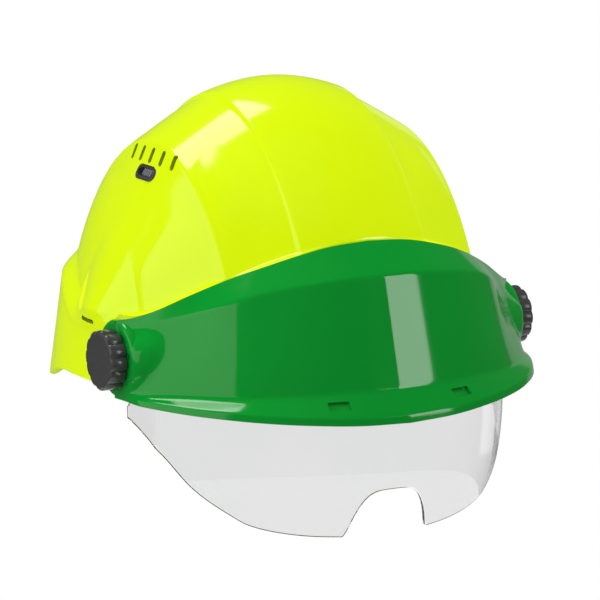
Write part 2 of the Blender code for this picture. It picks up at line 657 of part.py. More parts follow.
def turned_y(name, radius, y_from, y_to, z, finish=None, cutter=False, segments=24):
    """A cylinder along Y on the nape's axis."""
    bm = bmesh.new()
    turn = Matrix.Rotation(math.radians(90), 4, "X")
    bmesh.ops.create_cone(
        bm, cap_ends=True, segments=segments, radius1=radius, radius2=radius,
        depth=y_to - y_from, matrix=Matrix.Translation((0, (y_from + y_to) / 2, z)) @ turn,
    )
    bmesh.ops.transform(bm, matrix=Matrix.Scale(MM, 4), verts=bm.verts)
    return new_object(name, mesh_from_bmesh(name, bm), finish, cutter)


def key_frame(degrees):
    """Frame of a strap key that stands just outside the headband: Y points outwards."""
    ahead = Vector(band_point(degrees + 1, BAND_RADIUS, 0))
    behind = Vector(band_point(degrees - 1, BAND_RADIUS, 0))
    along = (ahead - behind).normalized()
    out = along.cross(Vector((0, 0, 1)))
    point = Vector(band_point(degrees, BAND_RADIUS, 0)) + out * (BAND_THICKNESS + GAP + 0.2 + KEY[1] / 2)
    return Matrix.Translation(point) @ Matrix((along, out, Vector((0, 0, 1)))).transposed().to_4x4()


def make_cradle():
    steps = 22
    feet = {
        "front_left": STRAP_FOOT_DEG[0], "front_right": 180 - STRAP_FOOT_DEG[0],
        "rear_left": STRAP_FOOT_DEG[1], "rear_right": 180 - STRAP_FOOT_DEG[1],
    }
    pairs = {"crown_strap_a": ("front_left", "rear_right"), "crown_strap_b": ("front_right", "rear_left")}
    for index, (name, ends) in enumerate(pairs.items()):
        start, end = (key_frame(feet[key]).translation for key in ends)
        top = STRAP_CROWN - index * STRAP_LAYER
        across = (end - start).cross(Vector((0, 0, 1))).normalized() * STRAP_WIDTH / 2
        rows = [[], []]
        for k in range(steps + 1):
            angle = math.pi * k / steps
            point = start.lerp(end, (1 - math.cos(angle)) / 2)
            point.z = STRAP_FOOT_HEIGHT + (top - STRAP_FOOT_HEIGHT) * math.sin(angle) ** 0.85
            rows[0].append(point + across)
            rows[1].append(point - across)
        strap = new_object(name, mesh_from_bmesh(name, grid_mesh(name, rows)), FINISH["web"])
        solidify(strap, STRAP_THICKNESS)
    for place, degrees in feet.items():
        spot = key_frame(degrees) @ Matrix.Translation((0, 0, STRAP_FOOT_HEIGHT - 0.6 - KEY[2] / 2))
        box(f"strap_key_{place}", KEY, spot, FINISH["plastic"])


clear_scene()
PARTS = collection("hard_hat")
CUTTERS = collection("cutters")
FINISH = {
    "shell": material("shell_yellow", (0.72, 0.93, 0.0), 0.28),
    "guard": material("guard_green", (0.0, 0.27, 0.03), 0.25),
    "lens": material("lens_clear", (0.95, 0.97, 0.97), 0.03, transmission=1.0),
    "black": material("black_nylon", (0.03, 0.03, 0.035), 0.4),
    "grey": material("grey_nylon", (0.25, 0.25, 0.27), 0.5),
    "rubber": material("rubber", (0.05, 0.05, 0.05), 0.8),
    "steel": material("zinc_steel", (0.62, 0.63, 0.65), 0.35, metallic=1.0),
    "plastic": material("cradle_plastic", (0.06, 0.06, 0.065), 0.5),
    "foam": material("foam", (0.12, 0.12, 0.13), 0.9),
    "web": material("webbing", (0.1, 0.1, 0.11), 0.85),
}
make_shell()
make_guard()
make_lens()
make_clamps()
make_vents()
make_headband()
make_nape()
make_cradle()
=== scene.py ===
"""Looks for an industrial hard hat with a brow guard, a clear sliding lens and a head cradle.

Lengths are in millimetres until a mesh is made. The wearer looks along -Y, +Z is up and +X is the
wearer's left. The curved skins follow the same formulas as the CAD solids that they stand for.
"""

import math

import bmesh
import bpy
import numpy as np
from mathutils import Matrix, Vector


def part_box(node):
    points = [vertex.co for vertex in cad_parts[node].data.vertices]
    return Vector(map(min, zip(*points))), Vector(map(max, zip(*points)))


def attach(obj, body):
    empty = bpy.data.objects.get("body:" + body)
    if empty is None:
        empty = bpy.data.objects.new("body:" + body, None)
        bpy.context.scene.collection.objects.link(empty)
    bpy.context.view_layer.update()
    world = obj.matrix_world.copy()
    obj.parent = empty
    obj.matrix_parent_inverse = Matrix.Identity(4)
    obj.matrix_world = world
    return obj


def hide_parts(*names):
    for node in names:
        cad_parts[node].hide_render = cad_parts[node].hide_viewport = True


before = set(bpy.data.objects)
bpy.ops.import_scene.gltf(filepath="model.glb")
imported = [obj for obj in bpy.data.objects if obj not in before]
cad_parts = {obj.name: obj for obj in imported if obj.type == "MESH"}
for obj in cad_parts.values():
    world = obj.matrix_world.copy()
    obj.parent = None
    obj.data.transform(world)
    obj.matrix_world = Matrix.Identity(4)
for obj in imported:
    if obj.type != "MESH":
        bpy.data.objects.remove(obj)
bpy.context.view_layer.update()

MM = 0.001
SIDES = {"left": 1, "right": -1}

# Camera: where it stands and which way is right, up and back, in the row frame.
CAMERA_BACK = Vector((-0.4834, -0.8544, 0.1908))
CAMERA_DISTANCE = 2000.0
CAMERA_RIGHT_SHIFT, CAMERA_UP_SHIFT = 12.32, 42.09
CAMERA_LENS = 233.8
FLOOR_Z = -330.0
FLOOR_RADIUS = 700.0
# How bright the world is to rays that neither come from the camera nor go through the lens.
AROUND = 0.1
# Soft lights: direction from the hat, distance, width and height in metres, power, whether gloss shows them.
SOFTBOXES = {
    "top": ((-0.12, 0.38, 0.91), 1.5, (0.9, 0.5), 8.0, True),
    "strip": ((0.568, -0.774, 0.267), 1.6, (0.42, 0.9), 5.5, True),
    "left_wall": ((-0.97, -0.01, 0.24), 1.8, (2.5, 1.3), 9.5, True),
    "back_right": ((0.79, 0.6, -0.02), 1.8, (1.0, 1.0), 0.8, True),
    "fill_top": ((-0.1, -0.3, 0.95), 2.0, (1.6, 1.6), 27.0, False),
    "fill_front": ((-0.45, -0.85, 0.25), 2.2, (1.6, 1.6), 8.0, False),
    "fill_left": ((-0.95, 0.2, 0.3), 2.0, (1.6, 1.6), 22.0, False),
    "fill_right": ((0.95, 0.1, 0.3), 2.0, (1.6, 1.6), 18.0, False),
}

# Dome: half-width, front reach, rear reach, height, exponent, half-width of the side wall.
DOME_BODIES = (
    (133.0, 114.0, 114.0, 158.5, 1.89, 35.0),
    (131.0, 110.0, 112.0, 156.3, 1.94, 70.0),
    (100.5, 102.5, 110.0, 153.3, 2.41, 92.0),
    (100.0, 74.0, 110.0, 153.3, 2.41, 400.0),
)
# Where each body is flat across, and how far in from its wall's foot it gives way to the body inside.
DOME_FLATS = (None, (35.0, 70.0), (70.0, 92.0), None)
DOME_INNER = (0.0, 30.0, 66.0, 66.0)
DOME_DIVE = 0.25
WALL_DRAFT = 0.45
FILLET_IN, FILLET_OUT = 1.0, 1.2
SHELL_WALL = 2.6
FOOT_HEIGHT = 48.0
FOOT_REAR_RISE = 18.0
FOOT_ABOVE_GUARD = 0.8
SHOULDER_INSIDE_GUARD = 1.1
FRONT_RECESS = 5.6
SKIRT_FROM_DEG, SKIRT_FULL_DEG = 76.0, 83.0
RIM_FRONT, RIM_REAR = (97.0, 104.0), (112.0, 131.0)
SKIRT_TOP = (105.5, 123.0)
SKIRT_SHOULDER_DROP = 9.0
RIM_HEIGHT, RIM_REAR_DROP = 15.0, 17.0
ACCESSORY_SLOT = (15.0, 2.2)
ACCESSORY_X, ACCESSORY_Y, ACCESSORY_Z = 105.0, 4.0, 42.3
SHELL_AZIMUTHS = 520
DOME_ROWS = 128
INNER_ROWS = 22
# The crown is a little thicker than the wall, and its inside has softer steps.
CROWN_EXTRA, INNER_FILLET = 0.8, 3.0

CLAMP_Y, CLAMP_Z = -40.0, 31.0

# Brow guard rails, from the middle of the brow round to the ear at the clamp axis.
GUARD_WALL = 2.4
GUARD_TOP = (
    (0, -92.8, 88.2), (21, -92.0, 86.8), (38, -90.0, 83.4), (54, -85.2, 78.6), (70, -76.3, 72.2),
    (86, -67.0, 64.6), (99, -58.0, 57.5), (109, -49.0, 52.6), (117, -40.0, 50.2),
)
GUARD_SHELF = (
    (0, -109.0, 73.5), (22, -107.2, 73.0), (42, -102.3, 71.0), (60, -95.0, 67.8), (75, -86.3, 62.6),
    (90, -70.5, 55.5), (103, -58.5, 50.5), (111.5, -48.5, 48.0), (117, -40.0, 46.0),
)
GUARD_FACE = (
    (0, -124.0, 20.0), (22, -122.3, 20.0), (43, -117.3, 19.5), (61, -110.2, 18.8), (77, -101.5, 18.0),
    (95, -85.5, 17.5), (109, -69.0, 17.0), (115.5, -54.0, 16.5), (117.2, -40.0, 16.0),
)
GUARD_LIP = (
    (0, -133.6, 8.6), (26, -131.4, 9.4), (49, -125.6, 10.9), (68, -117.3, 12.3), (84, -106.9, 13.5),
    (99.6, -91.2, 14.4), (112, -70.8, 14.8), (116.9, -54.5, 14.6), (117.6, -40.0, 14.0),
)
GUARD_EDGE = (
    (0, -134.0, 5.0), (26, -131.9, 5.8), (49, -126.1, 7.3), (68, -117.8, 8.7), (84, -107.4, 9.9),
    (100, -91.7, 11.0), (112.3, -71.1, 11.9), (117.2, -54.7, 12.2), (117.8, -40.0, 11.6),
)
GUARD_STEPS = 15
EAR_RADIUS = 19.4
EAR_FACE, EAR_WALL, EAR_SOFTNESS = 115.4, 5.0, 2.0
# The guard swells to meet the ear: how fast it falls away outside a radius, the heights it does so
# between, and how far from the middle it starts.
SWELL_RADIUS, SWELL_FALL, SWELL_LOW, SWELL_HIGH = 17.0, 0.12, (10.0, 15.0), (38.0, 49.0)
SWELL_FROM, SWELL_SOFTNESS = 70.0, 4.0
# The squeeze below draws this face in by 2.4 mm, to the 100 mm of the CAD, just clear of the lens.
SPACER_RADIUS, SPACER_FACE = 12.0, 102.4
BORE_RADIUS = 3.4
NOTCH = (11.0, 5.0, 3.2)
NOTCH_X, NOTCH_Y, NOTCH_Z = 34.5, -124.4, 14.9
NOTCH_YAW, NOTCH_LEAN = math.radians(13.4), math.radians(47.0)
# The ears draw in a little more than the solids do, between these distances from the middle.
SQUEEZE, SQUEEZE_FROM, SQUEEZE_TO = 2.6, 60.0, 112.0
KNOB_DRAWN_IN = 4.4
STUD_TIP, STUD_HEAD = 118.6, (93.0, 96.0)
STUD_RADIUS, STUD_HEAD_RADIUS = 3.0, 6.5

# Lens: a sheet of revolution about a line along X.
LENS_AXIS_Y, LENS_AXIS_Z = 25.0, -2.0
LENS_REACH, LENS_HALF_WIDTH, LENS_EXPONENT = 146.0, 114.0, 2.3
LENS_EAR_X, LENS_EAR_SOFTNESS, LENS_EAR_REACH = 99.6, 0.4, 52.0
LENS_THICKNESS = 1.8
LENS_TOP_DEG, PRONG_TOP_DEG = 8.5, 27.6
PRONG_REACH = (66.0, 82.0)
LENS_LOWER = ((52, -0.5), (68, -4.0), (84, -7.8), (102, -15.6), (119, -19.8), (128, -21.3), (147, -21.4))
NOSE_DEG, NOSE_HALF_WIDTH, NOSE_POWER = 9.8, 23.0, 4.0
SLOT_WIDTH, SLOT_FOOT_DEG, SLOT_MOUTH_DEG = 7.6, 12.2, 34.0
LENS_COLUMNS, LENS_ROWS = 120, 44

# Vents, laid out on the dome's slope.
VENT_CENTRE = (75.0, -4.0, 114.8)
VENT_COUNT, VENT_PITCH = 5, 10.0
VENT_SLOT = (2.9, 8.2)
VENT_ROW_RISE = 8.7
VENT_ALONG = [(k - (VENT_COUNT - 1) / 2) * VENT_PITCH for k in range(VENT_COUNT)]
BEZEL = (17.4, 6.6)
BUTTON = (9.0, 3.8, 4.6)
BUTTON_X = -2.5
SHUTTER, SHUTTER_DEPTH = (58.0, 12.0, 1.2), 9.2
SHUTTER_WINDOW = (3.6, 5.6, 8.0)

# Cradle.
BAND_RADIUS, BAND_CENTRE_Y, BAND_FRONT_REACH = 82.0, 20.0, 112.0
BAND_THICKNESS = 1.6
BAND_LOW, BAND_HIGH = 5.0, 33.0
BAND_END_DEG = 52.0
SWEATBAND_DEG = (-150.0, -30.0)
SWEATBAND_INSIDE, SWEATBAND_THICKNESS = 3.9, 3.0
NAPE_DEG = (34.0, 99.0)
NAPE_HEIGHT = 8.0
NAPE_RACKS = {"left": 21.4, "right": 9.0}
NAPE_RADIUS = 80.0
NAPE_PAD_DEG = (66.0, 114.0)
NAPE_PAD_RADIUS, NAPE_PAD_HEIGHT, NAPE_PAD_THICKNESS = 66.5, 28.0, 5.0
HOUSING = (46.0, 15.0, 30.0)
RATCHET_Y, RATCHET_Z = 100.4, 19.2
STRAP_WIDTH, STRAP_THICKNESS, STRAP_LAYER = 20.0, 1.3, 4.6
STRAP_FOOT_DEG = (-52.0, 38.0)
STRAP_FOOT_HEIGHT, STRAP_CROWN = 46.0, 128.0
KEY = (22.0, 3.6, 26.0)
STRAP_COLUMNS, STRAP_STEPS = 20, 120
PAD_VOXEL, PAD_SHRINK, PAD_PUFF = 1.1, 0.35, 0.45


# ---------------------------------------------------------------- numbers and curves

def smooth_step(value, low, high):
    share = np.clip((value - low) / (high - low), 0.0, 1.0)
    return share * share * (3.0 - 2.0 * share)


def soft_max(a, b, width):
    """The larger of two, rounded where they are closer than width."""
    share = np.clip(0.5 + 0.5 * (a - b) / width, 0.0, 1.0)
    return b + (a - b) * share + width * share * (1 - share) * 0.5


def soft_min(a, b, width):
    return -soft_max(-a, -b, width)


def through(points, steps):
    """A smooth curve through points, with the given number of steps between neighbours."""
    known = np.array(points, float)
    ends = np.vstack([2 * known[0] - known[1], known, 2 * known[-1] - known[-2]])
    made = []
    for i in range(1, len(ends) - 2):
        a, b, c, d = ends[i - 1], ends[i], ends[i + 1], ends[i + 2]
        for k in range(steps):
            t = k / steps
            made.append(0.5 * (2 * b + (c - a) * t + (2 * a - 5 * b + 4 * c - d) * t**2
                               + (3 * b - a - 3 * c + d) * t**3))
    made.append(known[-1])
    return np.array(made)


def mirrored(points):
    """A rail from the middle to the wearer's left, carried on to the right."""
    flipped = points[:0:-1] * np.array((-1, 1, 1))
    return np.vstack([flipped, points])


def rounded_rows(corners, radii, steps):
    """Rows of points down a profile whose inner corners are rounded; each corner is an array of points."""
    rows = [corners[0]]
    for before, corner, after, radius, count in zip(corners[:-2], corners[1:-1], corners[2:], radii, steps):
        back, ahead = before - corner, after - corner
        back_length = np.linalg.norm(back, axis=-1, keepdims=True)
        ahead_length = np.linalg.norm(ahead, axis=-1, keepdims=True)
        start = corner + back / np.maximum(back_length, 1e-6) * np.minimum(radius, back_length * 0.48)
        end = corner + ahead / np.maximum(ahead_length, 1e-6) * np.minimum(radius, ahead_length * 0.48)
        for k in range(count + 1):
            t = k / count
            rows.append((1 - t) ** 2 * start + 2 * t * (1 - t) * corner + t * t * end)
    rows.append(corners[-1])
    return rows


def between(a, b, count):
    """Rows evenly spaced between two rows, both left out."""
    return [a + (b - a) * k / (count + 1) for k in range(1, count + 1)]


# ---------------------------------------------------------------- meshes

def object_from(name, mesh, finish, body=None):
    made = bpy.data.objects.new(name, mesh)
    bpy.context.scene.collection.objects.link(made)
    mesh.materials.append(finish)
    if body:
        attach(made, body)
    return made


def grid_faces(rows, columns, closed=False):
    i = np.arange(columns if closed else columns - 1)
    j = (i + 1) % columns
    faces = []
    for row in range(rows - 1):
        a, b = row * columns, (row + 1) * columns
        faces.append(np.stack([a + i, b + i, b + j, a + j], 1))
    return np.concatenate(faces)


def smoothed(mesh, sharp_deg=None):
    """Shades a mesh smooth, except across edges sharper than an angle."""
    mesh.shade_smooth()
    if sharp_deg:
        mesh.set_sharp_from_angle(angle=math.radians(sharp_deg))
    return mesh


def mesh_from(name, points, faces):
    mesh = bpy.data.meshes.new(name)
    mesh.from_pydata((np.asarray(points) * MM).tolist(), [], [list(map(int, f)) for f in faces])
    mesh.update()
    return smoothed(mesh)


def mesh_from_bmesh(name, bm, sharp_deg=None):
    bmesh.ops.recalc_face_normals(bm, faces=bm.faces)
    bmesh.ops.transform(bm, matrix=Matrix.Scale(MM, 4), verts=bm.verts)
    mesh = bpy.data.meshes.new(name)
    bm.to_mesh(mesh)
    bm.free()
    return smoothed(mesh, sharp_deg)


def coordinates(mesh):
    co = np.empty(len(mesh.vertices) * 3, np.float32)
    mesh.vertices.foreach_get("co", co)
    return co.reshape(-1, 3)


def set_coordinates(mesh, co):
    mesh.vertices.foreach_set("co", co.ravel())
    mesh.update()


def walled(obj, thickness, offset=-1.0):
    """Gives a sheet its thickness, as a modifier that is still to be worked in."""
    wall = obj.modifiers.new("wall", "SOLIDIFY")
    wall.thickness = thickness * MM
    wall.offset = offset


def applied(obj):
    """obj's mesh with its modifiers worked into it."""
    bpy.context.view_layer.update()
    graph = bpy.context.evaluated_depsgraph_get()
    mesh = bpy.data.meshes.new_from_object(obj.evaluated_get(graph))
    old = obj.data
    obj.modifiers.clear()
    obj.data = mesh
    if old.users == 0:
        bpy.data.meshes.remove(old)
    return obj


def cut(obj, cutters, operation="DIFFERENCE", finish=None):
    """Works closed meshes out of obj, or into it, and removes them.

    The cut faces can have a finish of their own.
    """
    for cutter in cutters:
        step = obj.modifiers.new("cut", "BOOLEAN")
        if finish:
            cutter.data.materials.append(finish)
            step.material_mode = "TRANSFER"
        step.operation = operation
        step.object = cutter
        step.solver = "EXACT"
    applied(obj)
    for cutter in cutters:
        mesh = cutter.data
        bpy.data.objects.remove(cutter, do_unlink=True)
        bpy.data.meshes.remove(mesh)
    return obj


def box_bmesh(size, matrix=Matrix(), bevel=0.0, segments=2):
    bm = bmesh.new()
    bmesh.ops.create_cube(bm, size=1.0, matrix=Matrix.Diagonal((*size, 1.0)))
    if bevel:
        bmesh.ops.bevel(bm, geom=list(bm.edges), offset=bevel, segments=segments, affect="EDGES", profile=0.5)
    bmesh.ops.transform(bm, matrix=matrix, verts=bm.verts)
    return bm


def stadium_bmesh(length, width, low, high, matrix, bevel=0.0, arc=12):
    bm = bmesh.new()
    points = []
    for end in (1, -1):
        for k in range(arc + 1):
            angle = math.radians(-90 + 180 * k / arc)
            points.append((end * ((length - width) / 2 + width / 2 * math.cos(angle)),
                           end * width / 2 * math.sin(angle), low))
    face = bm.faces.new([bm.verts.new(point) for point in points])
    raised = bmesh.ops.extrude_face_region(bm, geom=[face])
    top = [item for item in raised["geom"] if isinstance(item, bmesh.types.BMVert)]
    bmesh.ops.translate(bm, verts=top, vec=(0, 0, high - low))
    bmesh.ops.recalc_face_normals(bm, faces=bm.faces)
    if bevel:
        rim = [e for e in bm.edges if all(abs(v.co.z - high) < 1e-4 for v in e.verts)]
        bmesh.ops.bevel(bm, geom=rim, offset=bevel, segments=3, affect="EDGES", profile=0.5)
    bmesh.ops.transform(bm, matrix=matrix, verts=bm.verts)
    return bm


def turned_bmesh(profile, matrix, segments=64, loop=False):
    """A solid of revolution about Z. Its (radius, height) pairs end on the axis, or else form a loop."""
    bm = bmesh.new()
    rings = []
    for radius, height in profile:
        if radius < 1e-6:
            rings.append([bm.verts.new((0, 0, height))])
        else:
            rings.append([bm.verts.new((radius * math.cos(2 * math.pi * k / segments),
                                        radius * math.sin(2 * math.pi * k / segments), height))
                          for k in range(segments)])
    pairs = list(zip(rings[:-1], rings[1:]))
    if loop:
        pairs.append((rings[-1], rings[0]))
    for a, b in pairs:
        for k in range(segments):
            j = (k + 1) % segments
            if len(a) == 1:
                bm.faces.new((a[0], b[k], b[j]))
            elif len(b) == 1:
                bm.faces.new((a[k], b[0], a[j]))
            else:
                bm.faces.new((a[k], b[k], b[j], a[j]))
    bmesh.ops.transform(bm, matrix=matrix, verts=bm.verts)
    return bm


def rod_bmesh(radius, low, high, matrix):
    return turned_bmesh(((0, low), (radius, low), (radius, high), (0, high)), matrix, 32)


def close_rings(bm, rings):
    """Faces between rings of the same length, and a cap on each end."""
    for a, b in zip(rings[:-1], rings[1:]):
        for k in range(len(a)):
            j = (k + 1) % len(a)
            bm.faces.new((a[k], a[j], b[j], b[k]))
    bm.faces.new(rings[0][::-1])
    bm.faces.new(rings[-1])


def joined(parts):
    """One bmesh from several."""
    whole = bmesh.new()
    for part in parts:
        mesh = bpy.data.meshes.new("part")
        bmesh.ops.recalc_face_normals(part, faces=part.faces)
        part.to_mesh(mesh)
        part.free()
        whole.from_mesh(mesh)
        bpy.data.meshes.remove(mesh)
    return whole


def cutter_from(bm):
    made = bpy.data.objects.new("cutter", mesh_from_bmesh("cutter", bm))
    bpy.context.scene.collection.objects.link(made)
    made.hide_render = True
    return made


# ---------------------------------------------------------------- materials

def new_material(name):
    made = bpy.data.materials.new(name)
    made.use_nodes = True
    tree = made.node_tree
    return made, tree, tree.nodes["Principled BSDF"]


def texture(tree, kind, place, **inputs):
    """A texture node laid on coordinates."""
    made = tree.nodes.new(kind)
    for key, value in inputs.items():
        made.inputs[key].default_value = value
    tree.links.new(place, made.inputs["Vector"])
    return made


def painted(tree, socket, source, stops):
    """Feeds a shader's socket from a source, through a ramp between two colours."""
    made = tree.nodes.new("ShaderNodeValToRGB")
    for point, (at, colour) in zip(made.color_ramp.elements, stops):
        point.position = at
        point.color = (*colour, 1.0)
    tree.links.new(source, made.inputs["Fac"])
    tree.links.new(made.outputs["Color"], socket)


def embossed(tree, shader, height, strength, distance, invert=False):
    made = tree.nodes.new("ShaderNodeBump")
    made.inputs["Strength"].default_value = strength
    made.inputs["Distance"].default_value = distance
    made.invert = invert
    tree.links.new(height, made.inputs["Height"])
    tree.links.new(made.outputs["Normal"], shader.inputs["Normal"])


def object_coordinates(tree, scale=(1, 1, 1)):
    place = tree.nodes.new("ShaderNodeTexCoord")
    stretch = tree.nodes.new("ShaderNodeMapping")
    stretch.inputs["Scale"].default_value = scale
    tree.links.new(place.outputs["Object"], stretch.inputs["Vector"])
    return stretch.outputs["Vector"]


def moulded(name, colour, roughness, spread=0.04, grain=900.0, bump=0.02, painted_glow=0.0, painted_glow_colour=None):
    """Moulded plastic: faint colour drift, roughness that varies, a very fine surface grain and, if given, an
    even painted glow that lights it though no lamp does.
    """
    made, tree, shader = new_material(name)
    place = object_coordinates(tree)
    drift = texture(tree, "ShaderNodeTexNoise", place, Scale=14.0, Detail=3.0, Roughness=0.55).outputs["Fac"]
    darker, lighter = (tuple(min(1.0, c * share) for c in colour) for share in (0.97, 1.03))
    painted(tree, shader.inputs["Base Color"], drift, ((0.3, darker), (0.7, lighter)))
    low, high = roughness - spread, roughness + spread
    painted(tree, shader.inputs["Roughness"], drift, ((0.25, (low,) * 3), (0.75, (high,) * 3)))
    # Painted light: an even emission of the glow colour, which keeps the plastic bright even where it is in
    # shade.
    if painted_glow:
        shader.inputs["Emission Color"].default_value = (*painted_glow_colour, 1.0)
        shader.inputs["Emission Strength"].default_value = painted_glow
    fine = texture(tree, "ShaderNodeTexNoise", place, Scale=grain, Detail=4.0, Roughness=0.6)
    embossed(tree, shader, fine.outputs["Fac"], bump, 0.0004)
    return made


def clear_plastic(name):
    """Polycarbonate: a grey cast and a faint haze."""
    made, tree, shader = new_material(name)
    haze = texture(tree, "ShaderNodeTexNoise", object_coordinates(tree), Scale=22.0, Detail=2.0).outputs["Fac"]
    painted(tree, shader.inputs["Base Color"], haze, ((0.3, (0.755, 0.76, 0.76)), (0.7, (0.78, 0.78, 0.78))))
    painted(tree, shader.inputs["Roughness"], haze, ((0.3, (0.015,) * 3), (0.75, (0.035,) * 3)))
    shader.inputs["Transmission Weight"].default_value = 1.0
    shader.inputs["IOR"].default_value = 1.49
    return made


def woven(name, colour, pitch=0.0011):
    """Webbing: a plain weave of bright and dark threads."""
    made, tree, shader = new_material(name)
    place = object_coordinates(tree)
    mix = tree.nodes.new("ShaderNodeMath")
    mix.operation = "MULTIPLY"
    for socket, direction in zip(mix.inputs, "XY"):
        wave = texture(tree, "ShaderNodeTexWave", place, Scale=0.35 / pitch, Distortion=0.6)
        wave.bands_direction = direction
        tree.links.new(wave.outputs["Fac"], socket)
    weave = mix.outputs["Value"]
    painted(tree, shader.inputs["Base Color"], weave, ((0.0, tuple(c * 0.45 for c in colour)), (0.8, colour)))
    embossed(tree, shader, weave, 0.5, 0.0004)
    shader.inputs["Roughness"].default_value = 0.85
    shader.inputs["Sheen Weight"].default_value = 0.25
    return made


def knitted(name, colour):
    """Brushed knit over foam: small cells and a soft sheen."""
    made, tree, shader = new_material(name)
    place = object_coordinates(tree)
    cells = texture(tree, "ShaderNodeTexVoronoi", place, Scale=900.0).outputs["Distance"]
    drift = texture(tree, "ShaderNodeTexNoise", place, Scale=60.0, Detail=3.0).outputs["Fac"]
    painted(tree, shader.inputs["Base Color"], cells, ((0.0, colour), (0.8, tuple(c * 0.5 for c in colour))))
    embossed(tree, shader, cells, 0.5, 0.0003, invert=True)
    painted(tree, shader.inputs["Roughness"], drift, ((0.3, (0.82,) * 3), (0.7, (0.95,) * 3)))
    shader.inputs["Sheen Weight"].default_value = 0.4
    return made


def plated_steel(name):
    """Zinc-plated steel: blotched plating and fine turning marks."""
    made, tree, shader = new_material(name)
    place = object_coordinates(tree, (400, 40, 40))
    lines = texture(tree, "ShaderNodeTexNoise", place, Scale=4.0, Detail=4.0).outputs["Fac"]
    painted(tree, shader.inputs["Base Color"], lines, ((0.3, (0.5, 0.51, 0.53)), (0.7, (0.72, 0.73, 0.75))))
    painted(tree, shader.inputs["Roughness"], lines, ((0.3, (0.22,) * 3), (0.7, (0.42,) * 3)))
    shader.inputs["Metallic"].default_value = 1.0
    return made


# ---------------------------------------------------------------- shell

def dome_radius(direction, fillet_in=FILLET_IN, fillet_out=FILLET_OUT):
    """Distance from the origin to the dome's outer surface along unit directions."""
    x, y, z = np.abs(direction[..., 0]), direction[..., 1], direction[..., 2]
    away = np.hypot(y, z)
    best = None
    for body, level, inner in zip(DOME_BODIES[::-1], DOME_FLATS[::-1], DOME_INNER[::-1]):
        half_width, front, rear, height, power, wall = body
        reach = np.where(y < 0, front, rear)
        flat = np.abs(y / reach) ** power + np.abs(z / height) ** power
        radius = ((x / half_width) ** power + flat) ** (-1 / power)
        if level:
            radius = flattened(radius, x, flat, half_width, power, level)
        radius = radius - DOME_DIVE * np.maximum(inner - radius * x, 0)
        if wall < half_width:
            at_wall = 1 - (wall / half_width) ** power
            edge = (at_wall / (flat / np.maximum(away, 1e-9) ** power + 1e-12)) ** (1 / power)
            side = (wall + WALL_DRAFT * edge) / (x + WALL_DRAFT * away)
            radius = soft_min(radius, side, fillet_out)
        best = radius if best is None else soft_max(best, radius, fillet_in)
    return best


def flattened(radius, x, flat, half_width, power, level):
    """A body's radius once its surface runs straight across between two distances from the middle."""
    low, high = ((edge / half_width) ** power for edge in level)
    slope = (high - low) / (level[1] - level[0])
    for _ in range(4):
        across = radius * x
        within = (across > level[0]) & (across < level[1])
        term = np.where(within, low + slope * (across - level[0]), (across / half_width) ** power)
        rate = np.where(within, slope * x, power * term / radius)
        miss = term + radius**power * flat - 1
        radius = radius - miss / (rate + power * radius ** (power - 1) * flat)
    return radius


def direction_of(azimuth, elevation):
    """Azimuth 0 is the brow and pi the nape, elevation pi/2 the crown."""
    return np.stack([
        np.cos(elevation) * np.sin(azimuth),
        -np.cos(elevation) * np.cos(azimuth),
        np.sin(elevation) + 0 * azimuth,
    ], -1)


def dome_point(azimuth, elevation):
    direction = direction_of(azimuth, elevation)
    return direction * dome_radius(direction)[..., None]


def dome_normal(points):
    """Outward normals of the dome at points on it, from the slope of its radius."""
    length = np.linalg.norm(points, axis=-1, keepdims=True)
    direction = points / length
    helper = np.where(np.abs(direction[..., :1]) > 0.9, (0.0, 1.0, 0.0), (1.0, 0.0, 0.0))
    first = np.cross(direction, helper)
    first /= np.linalg.norm(first, axis=-1, keepdims=True)
    second = np.cross(direction, first)
    step = 0.004
    slopes = []
    for across in (first, second):
        ahead = direction + across * step
        behind = direction - across * step
        ahead /= np.linalg.norm(ahead, axis=-1, keepdims=True)
        behind /= np.linalg.norm(behind, axis=-1, keepdims=True)
        slopes.append(ahead * dome_radius(ahead)[..., None] - behind * dome_radius(behind)[..., None])
    normal = np.cross(slopes[0], slopes[1])
    normal /= np.linalg.norm(normal, axis=-1, keepdims=True)
    return np.where((normal * direction).sum(-1, keepdims=True) < 0, -normal, normal)


def plan_radius(azimuth, half_axes):
    return 1 / np.hypot(np.sin(azimuth) / half_axes[0], np.cos(azimuth) / half_axes[1])


def skirt_share(azimuth):
    """0 where the brow guard covers the shell's edge, 1 where the skirt hangs in the open."""
    return smooth_step(np.degrees(np.abs(azimuth)), SKIRT_FROM_DEG, SKIRT_FULL_DEG)


def guard_top(azimuth):
    """Reach from the Z axis, and height, of the guard's top edge at an azimuth."""
    rail = through(GUARD_TOP, 12)
    turn = np.arctan2(rail[:, 0], -rail[:, 1])
    reach = np.interp(np.abs(azimuth), turn, np.hypot(rail[:, 0], rail[:, 1]))
    return reach, np.interp(np.abs(azimuth), turn, rail[:, 2])


def foot_height(azimuth):
    turn = np.degrees(np.abs(azimuth))
    front = guard_top(azimuth)[1] + FOOT_ABOVE_GUARD
    side = FOOT_HEIGHT + FOOT_REAR_RISE * smooth_step(turn, 100, 130)
    return front + (side - front) * smooth_step(turn, 66, SKIRT_FULL_DEG)


